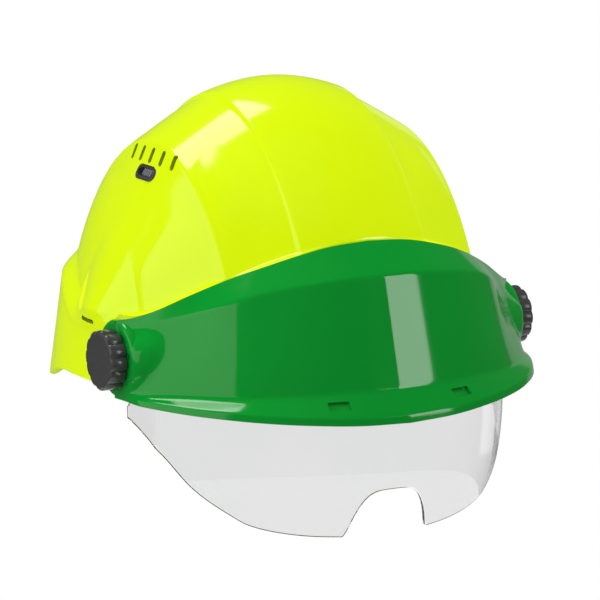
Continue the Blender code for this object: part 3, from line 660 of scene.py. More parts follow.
def shell_profile(count):
    """Key rings of the shell below its dome, at evenly spaced azimuths."""
    azimuth = np.linspace(0, 2 * np.pi, count, endpoint=False)
    turn = np.where(azimuth > np.pi, azimuth - 2 * np.pi, azimuth)
    foot_z = foot_height(turn)
    low, high = np.zeros(count), np.full(count, np.pi / 2)
    for _ in range(40):
        middle = (low + high) / 2
        above = dome_point(turn, middle)[..., 2] > foot_z
        high = np.where(above, middle, high)
        low = np.where(above, low, middle)
    foot = dome_point(turn, low)
    foot_reach = np.hypot(foot[:, 0], foot[:, 1])
    skirt = skirt_share(turn)
    ledge, ledge_z = guard_top(turn)
    ledge = np.maximum(np.minimum(ledge, plan_radius(turn, SKIRT_TOP)) - SHOULDER_INSIDE_GUARD, foot_reach)
    shoulder = ledge + skirt * (plan_radius(turn, SKIRT_TOP) - ledge)
    shoulder_z = ledge_z + skirt * (foot_z - SKIRT_SHOULDER_DROP - ledge_z)
    under = ledge - FRONT_RECESS
    under += skirt * (plan_radius(turn, SKIRT_TOP) + 0.4 - under)
    under_z = ledge_z - 5.0 + skirt * (foot_z - SKIRT_SHOULDER_DROP - 4.0 - ledge_z + 5.0)
    rim = (1 - skirt) * plan_radius(turn, RIM_FRONT) + skirt * plan_radius(turn, RIM_REAR)
    rim_z = RIM_HEIGHT - RIM_REAR_DROP * smooth_step(np.degrees(np.abs(turn)), 98, 140)
    outward = np.stack([np.sin(turn), -np.cos(turn), np.zeros(count)], -1)

    def ring(reach, z):
        points = outward * np.asarray(reach)[:, None]
        points[:, 2] = z
        return points

    return turn, low, foot, ring(shoulder, shoulder_z), ring(under, under_z), ring(rim, rim_z), skirt, outward


def make_shell(finish, painted_slot_shade):
    count = SHELL_AZIMUTHS
    turn, low, foot, shoulder, under, rim, skirt, outward = shell_profile(count)
    rows = []
    last = low + np.radians(1.2)
    for k in range(1, DOME_ROWS + 1):
        rows.append(dome_point(turn, np.pi / 2 + (last - np.pi / 2) * k / DOME_ROWS))
    rounding = [2.0 + 2.0 * skirt[:, None], 0.9 + 4.5 * skirt[:, None], 1.5 + 0 * skirt[:, None]]
    lower = rounded_rows([rows[-1], foot, shoulder, under, rim], rounding, (5, 6, 4))
    rows += lower[1:-1]
    rows += between(rows[-1], rim, 10)
    inward = -outward * SHELL_WALL
    lip = np.array((0, 0, -0.9))
    rows += [rim, rim + inward * 0.15 + lip * 0.7, rim + inward * 0.5 + lip, rim + inward * 0.85 + lip * 0.7,
             rim + inward]
    rows += between(rim + inward, under + inward, 4)
    drop = np.array((0, 0, -SHELL_WALL))
    rows += [under + inward, shoulder + inward * 1.2 + drop, foot + inward * 1.2 + drop]
    for k in range(1, INNER_ROWS):
        elevation = low + (np.pi / 2 - low) * k / INNER_ROWS
        direction = direction_of(turn, elevation)
        radius = dome_radius(direction, INNER_FILLET, INNER_FILLET) - SHELL_WALL - CROWN_EXTRA
        rows.append(direction * radius[:, None])
    points = np.concatenate(rows)
    faces = [tuple(f) for f in grid_faces(len(rows), count, closed=True)]
    crown_out, crown_in = len(points), len(points) + 1
    height = DOME_BODIES[0][3]
    points = np.vstack([points, (0, 0, height), (0, 0, height - SHELL_WALL - CROWN_EXTRA)])
    final = (len(rows) - 1) * count
    for k in range(count):
        j = (k + 1) % count
        faces.append((crown_out, k, j))
        faces.append((crown_in, final + j, final + k))
    shell = object_from("shell_skin", mesh_from("shell_skin", points, faces), finish)
    parts = []
    upright = Matrix.Rotation(math.radians(90), 4, "Z")
    for side in SIDES.values():
        slope = vent_frame(side)
        for along in VENT_ALONG:
            place = slope @ Matrix.Translation((along, VENT_ROW_RISE, 0)) @ upright
            parts.append(stadium_bmesh(VENT_SLOT[1], VENT_SLOT[0], -8, 8, place, arc=6))
        parts.append(stadium_bmesh(BEZEL[0] + 0.8, BEZEL[1] + 0.8, -8, 8, slope, arc=10))
        parts.append(rod_bmesh(BORE_RADIUS, -15, 15, on_clamp_axis(side * 94)))
        place = (Matrix.Translation((side * ACCESSORY_X, ACCESSORY_Y, ACCESSORY_Z))
                 @ Matrix.Rotation(math.radians(90), 4, "Y") @ upright)
        parts.append(stadium_bmesh(*ACCESSORY_SLOT, -14, 14, place, arc=6))
    # The cut faces take the darker slot material, painted shade inside the slots.
    cut(shell, [cutter_from(joined(parts))], finish=painted_slot_shade)
    mesh = smoothed(shell.data, 38)
    normals = np.empty(len(mesh.loops) * 3, np.float32)
    mesh.corner_normals.foreach_get("vector", normals)
    normals = normals.reshape(-1, 3).astype(float)
    corner = np.empty(len(mesh.loops), np.int32)
    mesh.loops.foreach_get("vertex_index", corner)
    # The dome takes its formula's own normals, wherever the cut mesh still lies on it.
    co = coordinates(mesh).astype(float) / MM
    length = np.linalg.norm(co, axis=1)
    direction = co / np.maximum(length, 1e-6)[:, None]
    azimuth = np.arctan2(co[:, 0], -co[:, 1])
    on_dome = (np.abs(length - dome_radius(direction)) < 0.08) & (co[:, 2] > foot_height(azimuth) + 2.2)
    wanted = dome_normal(co)[corner]
    agrees = on_dome[corner] & ((wanted * normals).sum(1) > 0.8)
    normals[agrees] = wanted[agrees]
    mesh.normals_split_custom_set(normals.tolist())
    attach(shell, "helmet")
    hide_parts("shell")


def vent_frame(side):
    """Frame on the dome's slope: X along the row of slots, Y up the slope, Z outwards."""
    x, y, z = VENT_CENTRE
    half_width, _, _, height, power, _ = DOME_BODIES[3]
    out = Vector((side * (x / half_width) ** (power - 1) / half_width, 0,
                  (z / height) ** (power - 1) / height)).normalized()
    along = Vector((0, 1, 0))
    up = out.cross(along)
    turned = Matrix((along, up * side, out)).transposed().to_4x4()
    return Matrix.Translation((side * x, y, z)) @ turned


# ---------------------------------------------------------------- guard, lens and clamps

def on_clamp_axis(x, side=1):
    """Frame on the line of the clamp screws, with Z along it."""
    return Matrix.Translation((x, CLAMP_Y, CLAMP_Z)) @ Matrix.Rotation(math.radians(90 * side), 4, "Y")


def swell(piece):
    """Raises the guard's side until it is level with the ears."""
    co = coordinates(piece.data)
    x, y, z = (co / MM).T
    reach = np.hypot(y - CLAMP_Y, z - CLAMP_Z)
    level = EAR_FACE - SWELL_FALL * np.maximum(reach - SWELL_RADIUS, 0) ** 2
    share = smooth_step(z, *SWELL_LOW) * (1 - smooth_step(z, *SWELL_HIGH))
    away = np.abs(x)
    away = away + share * (soft_max(away, level, SWELL_SOFTNESS) - away) * (away > SWELL_FROM)
    co[:, 0] = np.sign(x) * away * MM
    set_coordinates(piece.data, co)


def squeeze(piece):
    """Draws the ears of a piece in towards the head."""
    co = coordinates(piece.data)
    away = soft_min(np.abs(co[:, 0]) / MM, EAR_FACE, EAR_SOFTNESS)
    co[:, 0] = np.sign(co[:, 0]) * MM * (away - SQUEEZE * smooth_step(away, SQUEEZE_FROM, SQUEEZE_TO))
    set_coordinates(piece.data, co)


def make_guard(finish):
    rails = [mirrored(through(rail, GUARD_STEPS))
             for rail in (GUARD_TOP, GUARD_SHELF, GUARD_FACE, GUARD_LIP, GUARD_EDGE)]
    rows = rounded_rows(rails, (1.5, 2.2, 0.8), (7, 7, 4))
    dense = []
    for a, b, extra in zip(rows[:-1], rows[1:], [6] + [0] * 7 + [12] + [0] * 7 + [5] + [0] * 4 + [1]):
        dense.append(a)
        dense += between(a, b, extra)
    dense.append(rows[-1])
    mesh = mesh_from("guard_skin", np.concatenate(dense), grid_faces(len(dense), len(dense[0])))
    guard = object_from("guard_skin", mesh, finish)
    walled(guard, GUARD_WALL)
    applied(guard)
    inner = EAR_FACE - SPACER_FACE
    profile = (
        (BORE_RADIUS, -0.6), (15.4, -0.6), (16.4, -0.35), (17.2, -0.3), (18.0, -0.55), (18.7, -1.0),
        (19.2, -1.6), (EAR_RADIUS, -2.1), (EAR_RADIUS, -3.5), (EAR_RADIUS - 0.3, -EAR_WALL),
        (SPACER_RADIUS + 0.6, -EAR_WALL), (SPACER_RADIUS, -EAR_WALL - 0.6),
        (SPACER_RADIUS, -inner + 0.5), (SPACER_RADIUS - 0.5, -inner), (BORE_RADIUS, -inner),
    )
    notches, ears = [], []
    for side in SIDES.values():
        turn = Matrix.Rotation(side * NOTCH_YAW, 4, "Z") @ Matrix.Rotation(NOTCH_LEAN, 4, "X")
        notches.append(box_bmesh(NOTCH, Matrix.Translation((side * NOTCH_X, NOTCH_Y, NOTCH_Z)) @ turn, 0.5))
        notches.append(rod_bmesh(BORE_RADIUS, -15, 15, on_clamp_axis(side * 108, side)))
        ears.append(turned_bmesh(profile, on_clamp_axis(side * EAR_FACE, side), 96, loop=True))
    swell(guard)
    cut(guard, [cutter_from(joined(notches))])
    smoothed(guard.data, 32)
    extra = object_from("guard_ears", mesh_from_bmesh("guard_ears", joined(ears), 32), finish)
    for piece in (guard, extra):
        squeeze(piece)
        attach(piece, "helmet")
    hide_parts("brow_guard")


def lens_section():
    """Half of the lens's section, as x and reach, from its middle to the ear's rear edge."""
    last = math.acos((LENS_EAR_REACH / LENS_REACH) ** (LENS_EXPONENT / 2))
    angle = np.linspace(0, last, 8000)
    x = LENS_HALF_WIDTH * np.sin(angle) ** (2 / LENS_EXPONENT)
    reach = LENS_REACH * np.cos(angle) ** (2 / LENS_EXPONENT)
    x = LENS_EAR_X - LENS_EAR_SOFTNESS * np.logaddexp(0, (LENS_EAR_X - x) / LENS_EAR_SOFTNESS)
    x[0] = 0.0
    along = np.concatenate([[0], np.cumsum(np.hypot(np.diff(x), np.diff(reach)))])
    stops = np.linspace(0, along[-1], LENS_COLUMNS + 1)
    return np.interp(stops, along, x), np.interp(stops, along, reach)


def lens_edges(x, reach):
    """Lower and upper edge of the lens, in degrees about its axis."""
    lower = through(LENS_LOWER, 12)
    low = np.interp(reach, lower[:, 0], lower[:, 1])
    low += NOSE_DEG * soft_max(1 - (x / NOSE_HALF_WIDTH) ** NOSE_POWER, 0, 0.35)
    inner, outer = PRONG_REACH
    rise = smooth_step(-reach, -outer - 16, -outer)
    fall = 1 - smooth_step(reach, LENS_EAR_REACH, inner)
    high = LENS_TOP_DEG + (PRONG_TOP_DEG - LENS_TOP_DEG) * rise - (PRONG_TOP_DEG - 6.0) * fall
    return low, high


def lens_point(x, reach, degrees):
    angle = np.radians(degrees)
    return np.stack([x, LENS_AXIS_Y - reach * np.cos(angle), LENS_AXIS_Z + reach * np.sin(angle)], -1)


def make_lens(finish):
    x, reach = lens_section()
    low, high = lens_edges(x, reach)
    rows = [mirrored(lens_point(x, reach, high + (low - high) * k / LENS_ROWS)) for k in range(LENS_ROWS + 1)]
    mesh = mesh_from("lens_skin", np.concatenate(rows), grid_faces(len(rows), len(rows[0])))
    lens = object_from("lens_skin", mesh, finish)
    walled(lens, LENS_THICKNESS)
    clamp_reach = math.hypot(CLAMP_Y - LENS_AXIS_Y, CLAMP_Z - LENS_AXIS_Z)
    slots = [slot_bmesh(clamp_reach, side * LENS_EAR_X) for side in SIDES.values()]
    cut(lens, [cutter_from(joined(slots))])
    bm = bmesh.new()
    bm.from_mesh(lens.data)
    edges = [e for e in bm.edges if len(e.link_faces) == 2 and e.calc_face_angle() > math.radians(60)]
    bmesh.ops.bevel(bm, geom=edges, offset=0.35 * MM, segments=2, affect="EDGES", profile=0.5)
    bm.to_mesh(lens.data)
    bm.free()
    smoothed(lens.data, 50)
    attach(lens, "lens_body")
    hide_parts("lens")


def slot_bmesh(reach, x):
    """A curved cutter about the lens's axis, round at its foot and open at its mouth."""
    half = SLOT_WIDTH / 2
    foot, mouth = math.radians(SLOT_FOOT_DEG), math.radians(SLOT_MOUTH_DEG)
    outline = []
    for k in range(13):
        outline.append((reach + half, mouth + (foot - mouth) * k / 12))
    centre = (reach * math.cos(foot), reach * math.sin(foot))
    for k in range(1, 12):
        turn = foot - math.pi * k / 12
        along, up = centre[0] + half * math.cos(turn), centre[1] + half * math.sin(turn)
        outline.append((math.hypot(along, up), math.atan2(up, along)))
    for k in range(13):
        outline.append((reach - half, foot + (mouth - foot) * k / 12))
    bm = bmesh.new()
    ends = []
    for offset in (-6.0, 6.0):
        ends.append([bm.verts.new((x + offset, LENS_AXIS_Y - r * math.cos(a), LENS_AXIS_Z + r * math.sin(a)))
                     for r, a in outline])
    close_rings(bm, ends)
    return bm


def grip_bmesh(radius, depth, lobes, scallop, matrix, face_dish, steps, bore, bore_depth):
    """A scalloped knob along Z whose grooves run out into its rounded face."""
    angle = 2 * np.pi * np.arange(lobes * steps) / (lobes * steps)
    wave = (1 - np.abs(np.cos(lobes * angle / 2))) ** 1.6
    # Height, radius, and how much of the scallop's depth each ring has; the bore comes first.
    levels = [
        (bore_depth, bore, 0.0), (0.0, bore, 0.0),
        (0.0, radius - 1.2, 0.2), (0.0, radius - 0.4, 1.0), (0.5, radius, 1.0), (depth - 1.6, radius, 1.0),
        (depth - 0.9, radius - 0.15, 0.95), (depth - 0.4, radius - 0.6, 0.8),
        (depth - 0.08, radius - 1.3, 0.5), (depth, radius - 2.2, 0.2), (depth - 0.25, radius - 3.4, 0.0),
        (depth - face_dish, radius - 5.0, 0.0), (depth - face_dish, radius * 0.35, 0.0),
    ]
    bm = bmesh.new()
    rings = []
    for height, reach, share in levels:
        radii = reach - scallop * share * wave
        rings.append([bm.verts.new((r * math.cos(a), r * math.sin(a), height)) for a, r in zip(angle, radii)])
    close_rings(bm, rings)
    bmesh.ops.transform(bm, matrix=matrix, verts=bm.verts)
    return bm


def make_clamps(finish):
    for label, side in SIDES.items():
        node_name = f"clamp_knob_{label}"
        low, high = (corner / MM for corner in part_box(node_name))
        base = side * (min(abs(low.x), abs(high.x)) - KNOB_DRAWN_IN)
        depth = abs(high.x - low.x)
        radius = (high.z - low.z) / 2
        bm = grip_bmesh(radius, depth, 12, 1.3, on_clamp_axis(base, side), 0.35, 14, BORE_RADIUS, depth - 1.6)
        mesh = mesh_from_bmesh("knob", bm, 40)
        knob = object_from(f"knob_{label}_skin", mesh, finish, f"knob_{label}")
        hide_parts(node_name)


def make_studs(finish):
    """Hexagon-headed studs whose threads run up inside the knobs."""
    start, end = STUD_HEAD
    head, tip, wide = end - start, STUD_TIP - start, STUD_HEAD_RADIUS
    bevelled = ((0, 0), (wide - 0.8, 0), (wide, 0.5), (wide, head - 0.2), (wide - 0.3, head), (0, head))
    turns = [(0, head - 0.5), (STUD_RADIUS, head - 0.5), (STUD_RADIUS, 9.0)]
    for k in range(int(tip - 10)):
        turns += [(STUD_RADIUS - 0.45, 9.5 + k), (STUD_RADIUS, 10.0 + k)]
    turns += [(STUD_RADIUS - 0.6, tip), (0, tip)]
    for label, side in SIDES.items():
        place = on_clamp_axis(side * start, side)
        parts = [turned_bmesh(bevelled, place, 6), turned_bmesh(turns, place, 32)]
        stud = object_from(f"clamp_stud_{label}_skin", mesh_from_bmesh("stud", joined(parts), 30), finish)
        finish_edges(stud, "helmet", "zinc_steel", f"clamp_stud_{label}", sharp=30)


def make_vents(black, grey):
    for label, side in SIDES.items():
        slope = vent_frame(side)

        def block(size, x, y, z, bevel=0.0):
            return box_bmesh(size, slope @ Matrix.Translation((x, y, z)), bevel)

        ring = stadium_bmesh(BEZEL[0] + 2.0, BEZEL[1] + 2.0, 0.4, 1.7, slope, 0.6)
        neck = stadium_bmesh(BEZEL[0], BEZEL[1], -3.2, 0.8, slope)
        bezel = object_from(f"vent_bezel_{label}_skin", mesh_from_bmesh("bezel", joined([neck]), 35), black)
        cut(bezel, [cutter_from(ring)], "UNION")
        cut(bezel, [cutter_from(stadium_bmesh(BEZEL[0] - 2.2, BEZEL[1] - 2.2, -9, 9, slope))])
        smoothed(bezel.data, 35)
        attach(bezel, "helmet")
        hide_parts(f"vent_bezel_{label}")
        button = block(BUTTON, BUTTON_X, 0, -1.0, 0.3)
        ribs = [block((0.9, 3.6, 1.3), -6.1 + 1.8 * k, 0, 1.5, 0.3) for k in range(5)]
        stem = block((7.2, 3.2, 7.0), BUTTON_X, 0, -6.0, 0.3)
        shutter = block(SHUTTER, BUTTON_X, VENT_ROW_RISE - 2.5, -SHUTTER_DEPTH, 0.25)
        plate = object_from(f"vent_slider_{label}_skin", mesh_from_bmesh("shutter", shutter, 35), grey)
        windows = [block(SHUTTER_WINDOW, along, VENT_ROW_RISE, -SHUTTER_DEPTH) for along in VENT_ALONG]
        cut(plate, [cutter_from(joined(windows))])
        cut(plate, [cutter_from(button), cutter_from(stem)], "UNION")
        cut(plate, [cutter_from(joined(ribs))], "UNION")
        smoothed(plate.data, 35)
        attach(plate, f"shutter_{label}")
        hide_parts(f"vent_slider_{label}")


# ---------------------------------------------------------------- cradle

def band_point(degrees, radius, z):
    """Headband plan: 0 is the wearer's left, 90 the nape; the front half is drawn out."""
    angle = np.radians(degrees)
    stretch = np.where(np.sin(angle) < 0, BAND_FRONT_REACH / BAND_RADIUS, 1.0)
    y = BAND_CENTRE_Y + radius * stretch * np.sin(angle)
    return np.stack([radius * np.cos(angle), y, z + 0 * angle], -1)


def band_out(degrees):
    """Outward directions of the headband's plan."""
    ahead, behind = band_point(degrees + 0.5, BAND_RADIUS, 0), band_point(degrees - 0.5, BAND_RADIUS, 0)
    along = ahead - behind
    along /= np.linalg.norm(along, axis=-1, keepdims=True)
    return np.cross(along, (0, 0, 1))


def strip_bmesh(start, end, radius, section, steps):
    """A closed bar round the headband's plan; section is a loop of (outwards, height) pairs."""
    degrees = np.linspace(start, end, steps + 1)
    base, out = band_point(degrees, radius, 0), band_out(degrees)
    bm = bmesh.new()
    loops = []
    for foot, way in zip(base, out):
        loops.append([bm.verts.new(Vector(foot) + Vector(way) * offset + Vector((0, 0, height)))
                      for offset, height in section])
    close_rings(bm, loops)
    bmesh.ops.recalc_face_normals(bm, faces=bm.faces)
    return bm


def rounded_section(low, high, thickness, radius=0.6, rib=0.0, rib_height=2.0):
    """Loop round a strip's section; a rib stands out along both edges of its outer face."""
    points = []
    corners = ((0, low), (thickness, low), (thickness, high), (0, high))
    for index, (across, height) in enumerate(corners):
        centre = (across + (radius if across == 0 else -radius),
                  height + (radius if height == low else -radius))
        for k in range(4):
            angle = math.radians(180 + 90 * index + 90 * k / 3)
            points.append((centre[0] + radius * math.cos(angle), centre[1] + radius * math.sin(angle)))
    if rib:
        outer = [i for i, p in enumerate(points) if p[0] > thickness - radius * 0.01]
        first, last = outer[0], outer[-1]
        points[first + 1:last] = [(thickness, low + rib_height), (thickness - rib, low + rib_height + rib),
                                  (thickness - rib, high - rib_height - rib), (thickness, high - rib_height)]
    return points


def band_frame(degrees, radius, z):
    """Frame on the headband's plan: X along it, Y outwards, Z up."""
    out = Vector(band_out(np.array([float(degrees)]))[0])
    along = Vector((0, 0, 1)).cross(out)
    point = Vector(band_point(np.array([float(degrees)]), radius, z)[0])
    return Matrix.Translation(point) @ Matrix((along, out, Vector((0, 0, 1)))).transposed().to_4x4()


def window_bmesh(degrees, radius, z, length, height):
    """A round-ended cutter through a band, long along it."""
    place = band_frame(degrees, radius, z) @ Matrix.Rotation(math.radians(-90), 4, "X")
    return stadium_bmesh(length, height, -6, 6, place, arc=6)


def make_headband(finish):
    section = rounded_section(BAND_LOW, BAND_HIGH, BAND_THICKNESS, 0.6, 0.5, 3.0)
    bm = strip_bmesh(-180 - BAND_END_DEG, BAND_END_DEG, BAND_RADIUS, section, 220)
    band = object_from("headband_skin", mesh_from_bmesh("headband", bm), finish)
    windows = []
    for side in (1, -1):
        for k in range(9):
            degrees = 90 - side * (90 - BAND_END_DEG + 14 + 4.6 * k)
            for z in (13.0, 25.4):
                windows.append(window_bmesh(degrees, BAND_RADIUS, z, 4.4, 2.2))
    for k in range(-4, 5):
        for z in (27.0, 11.0):
            windows.append(window_bmesh(-90 + k * 9.5, BAND_RADIUS, z, 9.0, 3.0))
    cut(band, [cutter_from(joined(windows))])
    finish_edges(band, "helmet", "cradle_plastic", "headband")


def finish_edges(piece, body, slot, *nodes, sharp=32):
    smoothed(piece.data, sharp)
    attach(piece, body)
    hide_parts(*nodes)


def make_nape_bands(finish):
    for label, side in SIDES.items():
        low = NAPE_RACKS[label]
        ends = NAPE_DEG if side > 0 else (180 - NAPE_DEG[1], 180 - NAPE_DEG[0])
        section = rounded_section(low, low + NAPE_HEIGHT, BAND_THICKNESS, 0.5)
        mesh = mesh_from_bmesh("nape", strip_bmesh(*ends, NAPE_RADIUS, section, 90))
        band = object_from(f"nape_band_{label}_skin", mesh, finish)
        middle = low + NAPE_HEIGHT / 2
        rack = []
        for k in range(11):
            place = band_frame(90 - side * (2.4 + 2.1 * k), NAPE_RADIUS, middle)
            rack.append(box_bmesh((1.5, 8, 1.6), place, 0.2, 1))
        rack.append(window_bmesh(90 - side * 46, NAPE_RADIUS, middle, 6.0, 3.0))
        cut(band, [cutter_from(joined(rack))])
        finish_edges(band, f"nape_{label}", "cradle_plastic", f"nape_band_{label}")


def make_ratchet(finish):
    width, depth, height = HOUSING
    place = Matrix.Translation((0, RATCHET_Y, RATCHET_Z))
    mesh = mesh_from_bmesh("housing", box_bmesh(HOUSING, place, 3.2, 5))
    housing = object_from("ratchet_housing_skin", mesh, finish)
    back = place @ Matrix.Rotation(math.radians(-90), 4, "X")
    cuts = [box_bmesh((width + 2, depth - 5, height - 5), place), rod_bmesh(3.6, 1, 12, back)]
    cut(housing, [cutter_from(part) for part in cuts])
    ring = back @ Matrix.Translation((0, 0, depth / 2))
    groove = turned_bmesh(((16.2, -0.7), (17.4, -0.7), (17.4, 1), (16.2, 1)), ring, loop=True)
    cut(housing, [cutter_from(groove)])
    finish_edges(housing, "helmet", "black_nylon", "ratchet_housing")
    foot = back @ Matrix.Translation((0, 0, depth / 2 + 0.6))
    mesh = mesh_from_bmesh("ratchet_knob", grip_bmesh(15.0, 11.0, 16, 1.0, foot, 0.9, 12, 2.4, 2.0), 40)
    knob = object_from("ratchet_knob_skin", mesh, finish)
    finish_edges(knob, "ratchet", "black_nylon", "ratchet_knob", sharp=40)


def pad_bmesh(start, end, radius, low, high, thickness):
    """A closed pad along the headband's plan, slightly smaller than the finished one."""
    thinner = thickness - 2 * PAD_SHRINK
    section = rounded_section(low + PAD_SHRINK, high - PAD_SHRINK, thinner, thinner * 0.42)
    section = [(across + PAD_SHRINK, height) for across, height in section]
    return strip_bmesh(start + 1.2, end - 1.2, radius, section, 60)


def make_pad(name, node, limits, radius, low, high, thickness, finish, seam_finish):
    """A foam pad that cloth simulation fills out, with a stitched seam along each edge."""
    mesh = mesh_from_bmesh(name, pad_bmesh(*limits, radius, low, high, thickness))
    made = object_from(name, mesh, finish)
    grid = made.modifiers.new("grid", "REMESH")
    grid.mode = "VOXEL"
    grid.voxel_size = PAD_VOXEL * MM
    applied(made)
    puffed(made, PAD_PUFF)
    fine = made.modifiers.new("fine", "SUBSURF")
    fine.levels = fine.render_levels = 1
    applied(made)
    made.data.shade_smooth()
    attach(made, "helmet")
    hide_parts(node)
    stitches = []
    count = int(abs(limits[1] - limits[0]) / 1.6)
    degrees = np.linspace(limits[0] + 3, limits[1] - 3, count)
    for z in (low + 3.0, high - 3.0):
        for angle in degrees:
            frame_at = band_frame(angle, radius, z) @ Matrix.Translation((0, 0.12, 0))
            stitches.append(thread_bmesh(1.7, 0.5, frame_at))
    mesh = mesh_from_bmesh("stitches", joined(stitches), 60)
    object_from(f"{name}_stitches", mesh, seam_finish, "helmet")


def thread_bmesh(length, width, matrix):
    """A short thread lying along X."""
    bm = bmesh.new()
    bmesh.ops.create_icosphere(bm, subdivisions=1, radius=width / 2, matrix=Matrix.Diagonal(
        (length / width, 0.8, 1.0, 1.0)))
    bmesh.ops.transform(bm, matrix=matrix, verts=bm.verts)
    return bm


def puffed(piece, limit):
    """Fills a closed pad with pressure until its cover is tight, moving no vertex by more than limit."""
    scene = bpy.context.scene
    rest = coordinates(piece.data)
    cloth = piece.modifiers.new("cover", "CLOTH")
    cloth.settings.use_pressure = True
    cloth.settings.uniform_pressure_force = 4.0
    cloth.settings.quality = 5
    cloth.settings.mass = 0.3
    cloth.settings.tension_stiffness = 25
    cloth.settings.compression_stiffness = 25
    cloth.settings.effector_weights.gravity = 0.0
    cloth.point_cache.frame_start = 1
    cloth.point_cache.frame_end = 20
    for step in range(1, 21):
        scene.frame_set(step)
    applied(piece)
    scene.frame_set(1)
    shift = coordinates(piece.data) - rest
    size = np.linalg.norm(shift, axis=1, keepdims=True)
    shift *= np.minimum(1.0, limit * MM / np.maximum(size, 1e-9))
    set_coordinates(piece.data, rest + shift)


def strap_rows(start, end, top, steps):
    """Centre line of a crown strap from one key to the other."""
    angle = np.pi * np.arange(steps + 1) / steps
    share = (1 - np.cos(angle)) / 2
    line = np.array(start)[None, :] * (1 - share[:, None]) + np.array(end)[None, :] * share[:, None]
    line[:, 2] = STRAP_FOOT_HEIGHT + (top - STRAP_FOOT_HEIGHT) * np.maximum(np.sin(angle), 0) ** 0.85
    return line


def make_straps(finish, key_finish, thread_finish):
    feet = {
        "front_left": STRAP_FOOT_DEG[0], "front_right": 180 - STRAP_FOOT_DEG[0],
        "rear_left": STRAP_FOOT_DEG[1], "rear_right": 180 - STRAP_FOOT_DEG[1],
    }
    key_radius = BAND_THICKNESS + 0.6 + KEY[1] / 2
    frames = {}
    for place, degrees in feet.items():
        out = Vector(band_out(np.array([degrees]))[0]) * key_radius
        frames[place] = Matrix.Translation(out) @ band_frame(degrees, BAND_RADIUS, 0)
    pairs = {"crown_strap_a": ("front_left", "rear_right"), "crown_strap_b": ("front_right", "rear_left")}
    for index, (name, ends) in enumerate(pairs.items()):
        start, end = (frames[key].translation for key in ends)
        line = strap_rows(start, end, STRAP_CROWN - index * STRAP_LAYER, STRAP_STEPS)
        across = np.cross(np.array(end - start), (0, 0, 1))
        across /= np.linalg.norm(across)
        rows = [line + across * STRAP_WIDTH / 2 * w for w in np.linspace(-1, 1, STRAP_COLUMNS + 1)]
        mesh = mesh_from(name, np.concatenate(rows), grid_faces(len(rows), len(line)))
        strap = object_from(f"{name}_skin", mesh, finish)
        walled(strap, STRAP_THICKNESS, 0.0)
        edge = strap.modifiers.new("edge", "BEVEL")
        edge.width = 0.4 * MM
        edge.segments = 2
        edge.limit_method = "ANGLE"
        applied(strap)
        finish_edges(strap, "helmet", "web", name, sharp=40)
        threads = []
        # Two rows of stitches near each end of the strap.
        for at in (6, 9, len(line) - 7, len(line) - 10):
            along = Vector(line[min(at + 1, len(line) - 1)] - line[at - 1]).normalized()
            outward = along.cross(Vector(across)).normalized()
            turned = Matrix((Vector(across), outward, along)).transposed().to_4x4()
            for k in range(-5, 6):
                spot = Matrix.Translation(Vector(line[at]) + Vector(across) * k * 1.6) @ turned
                for face in (0.68, -0.68):
                    threads.append(thread_bmesh(1.3, 0.5, spot @ Matrix.Translation((0, face, 0))))
        mesh = mesh_from_bmesh("stitches", joined(threads), 60)
        object_from(f"{name}_stitches", mesh, thread_finish, "helmet")
    for place, turn in frames.items():
        spot = turn @ Matrix.Translation((0, 0, STRAP_FOOT_HEIGHT - 0.6 - KEY[2] / 2))
        mesh = mesh_from_bmesh("key", box_bmesh(KEY, spot, 0.9, 3))
        key = object_from(f"strap_key_{place}_skin", mesh, key_finish)
        cuts = [box_bmesh((16.0, 8.0, 3.0), spot @ Matrix.Translation((0, 0, 8.6)), 0.6)]
        for k in range(4):
            groove = spot @ Matrix.Translation((0, KEY[1] / 2, -7 + 3 * k))
            cuts.append(box_bmesh((12.0, 1.2, 1.0), groove, 0.25))
        cut(key, [cutter_from(part) for part in cuts])
        finish_edges(key, "helmet", "cradle_plastic", f"strap_key_{place}")


# ---------------------------------------------------------------- scene

def make_camera():
    right = CAMERA_BACK.cross(Vector((0, 0, 1))).normalized() * -1
    up = CAMERA_BACK.normalized().cross(right)
    place = CAMERA_BACK.normalized() * CAMERA_DISTANCE + right * CAMERA_RIGHT_SHIFT + up * CAMERA_UP_SHIFT
    data = bpy.data.cameras.new("camera")
    data.lens = CAMERA_LENS
    data.sensor_width = 36.0
    data.clip_end = 50.0
    made = bpy.data.objects.new("camera", data)
    bpy.context.scene.collection.objects.link(made)
    turn = Matrix((right, up, CAMERA_BACK.normalized())).transposed().to_4x4()
    made.matrix_world = Matrix.Translation(place * MM) @ turn
    bpy.context.scene.camera = made


def softbox(name, direction, distance, size, power):
    """A rectangular light that faces the hat from a direction."""
    data = bpy.data.lights.new(name, "AREA")
    data.shape = "RECTANGLE"
    data.size, data.size_y = size
    data.energy = power
    made = bpy.data.objects.new(name, data)
    bpy.context.scene.collection.objects.link(made)
    way = Vector(direction).normalized()
    target = Vector((0, 0, 50)) * MM
    made.location = target + way * distance
    made.rotation_euler = way.to_track_quat("Z", "Y").to_euler()
    return made


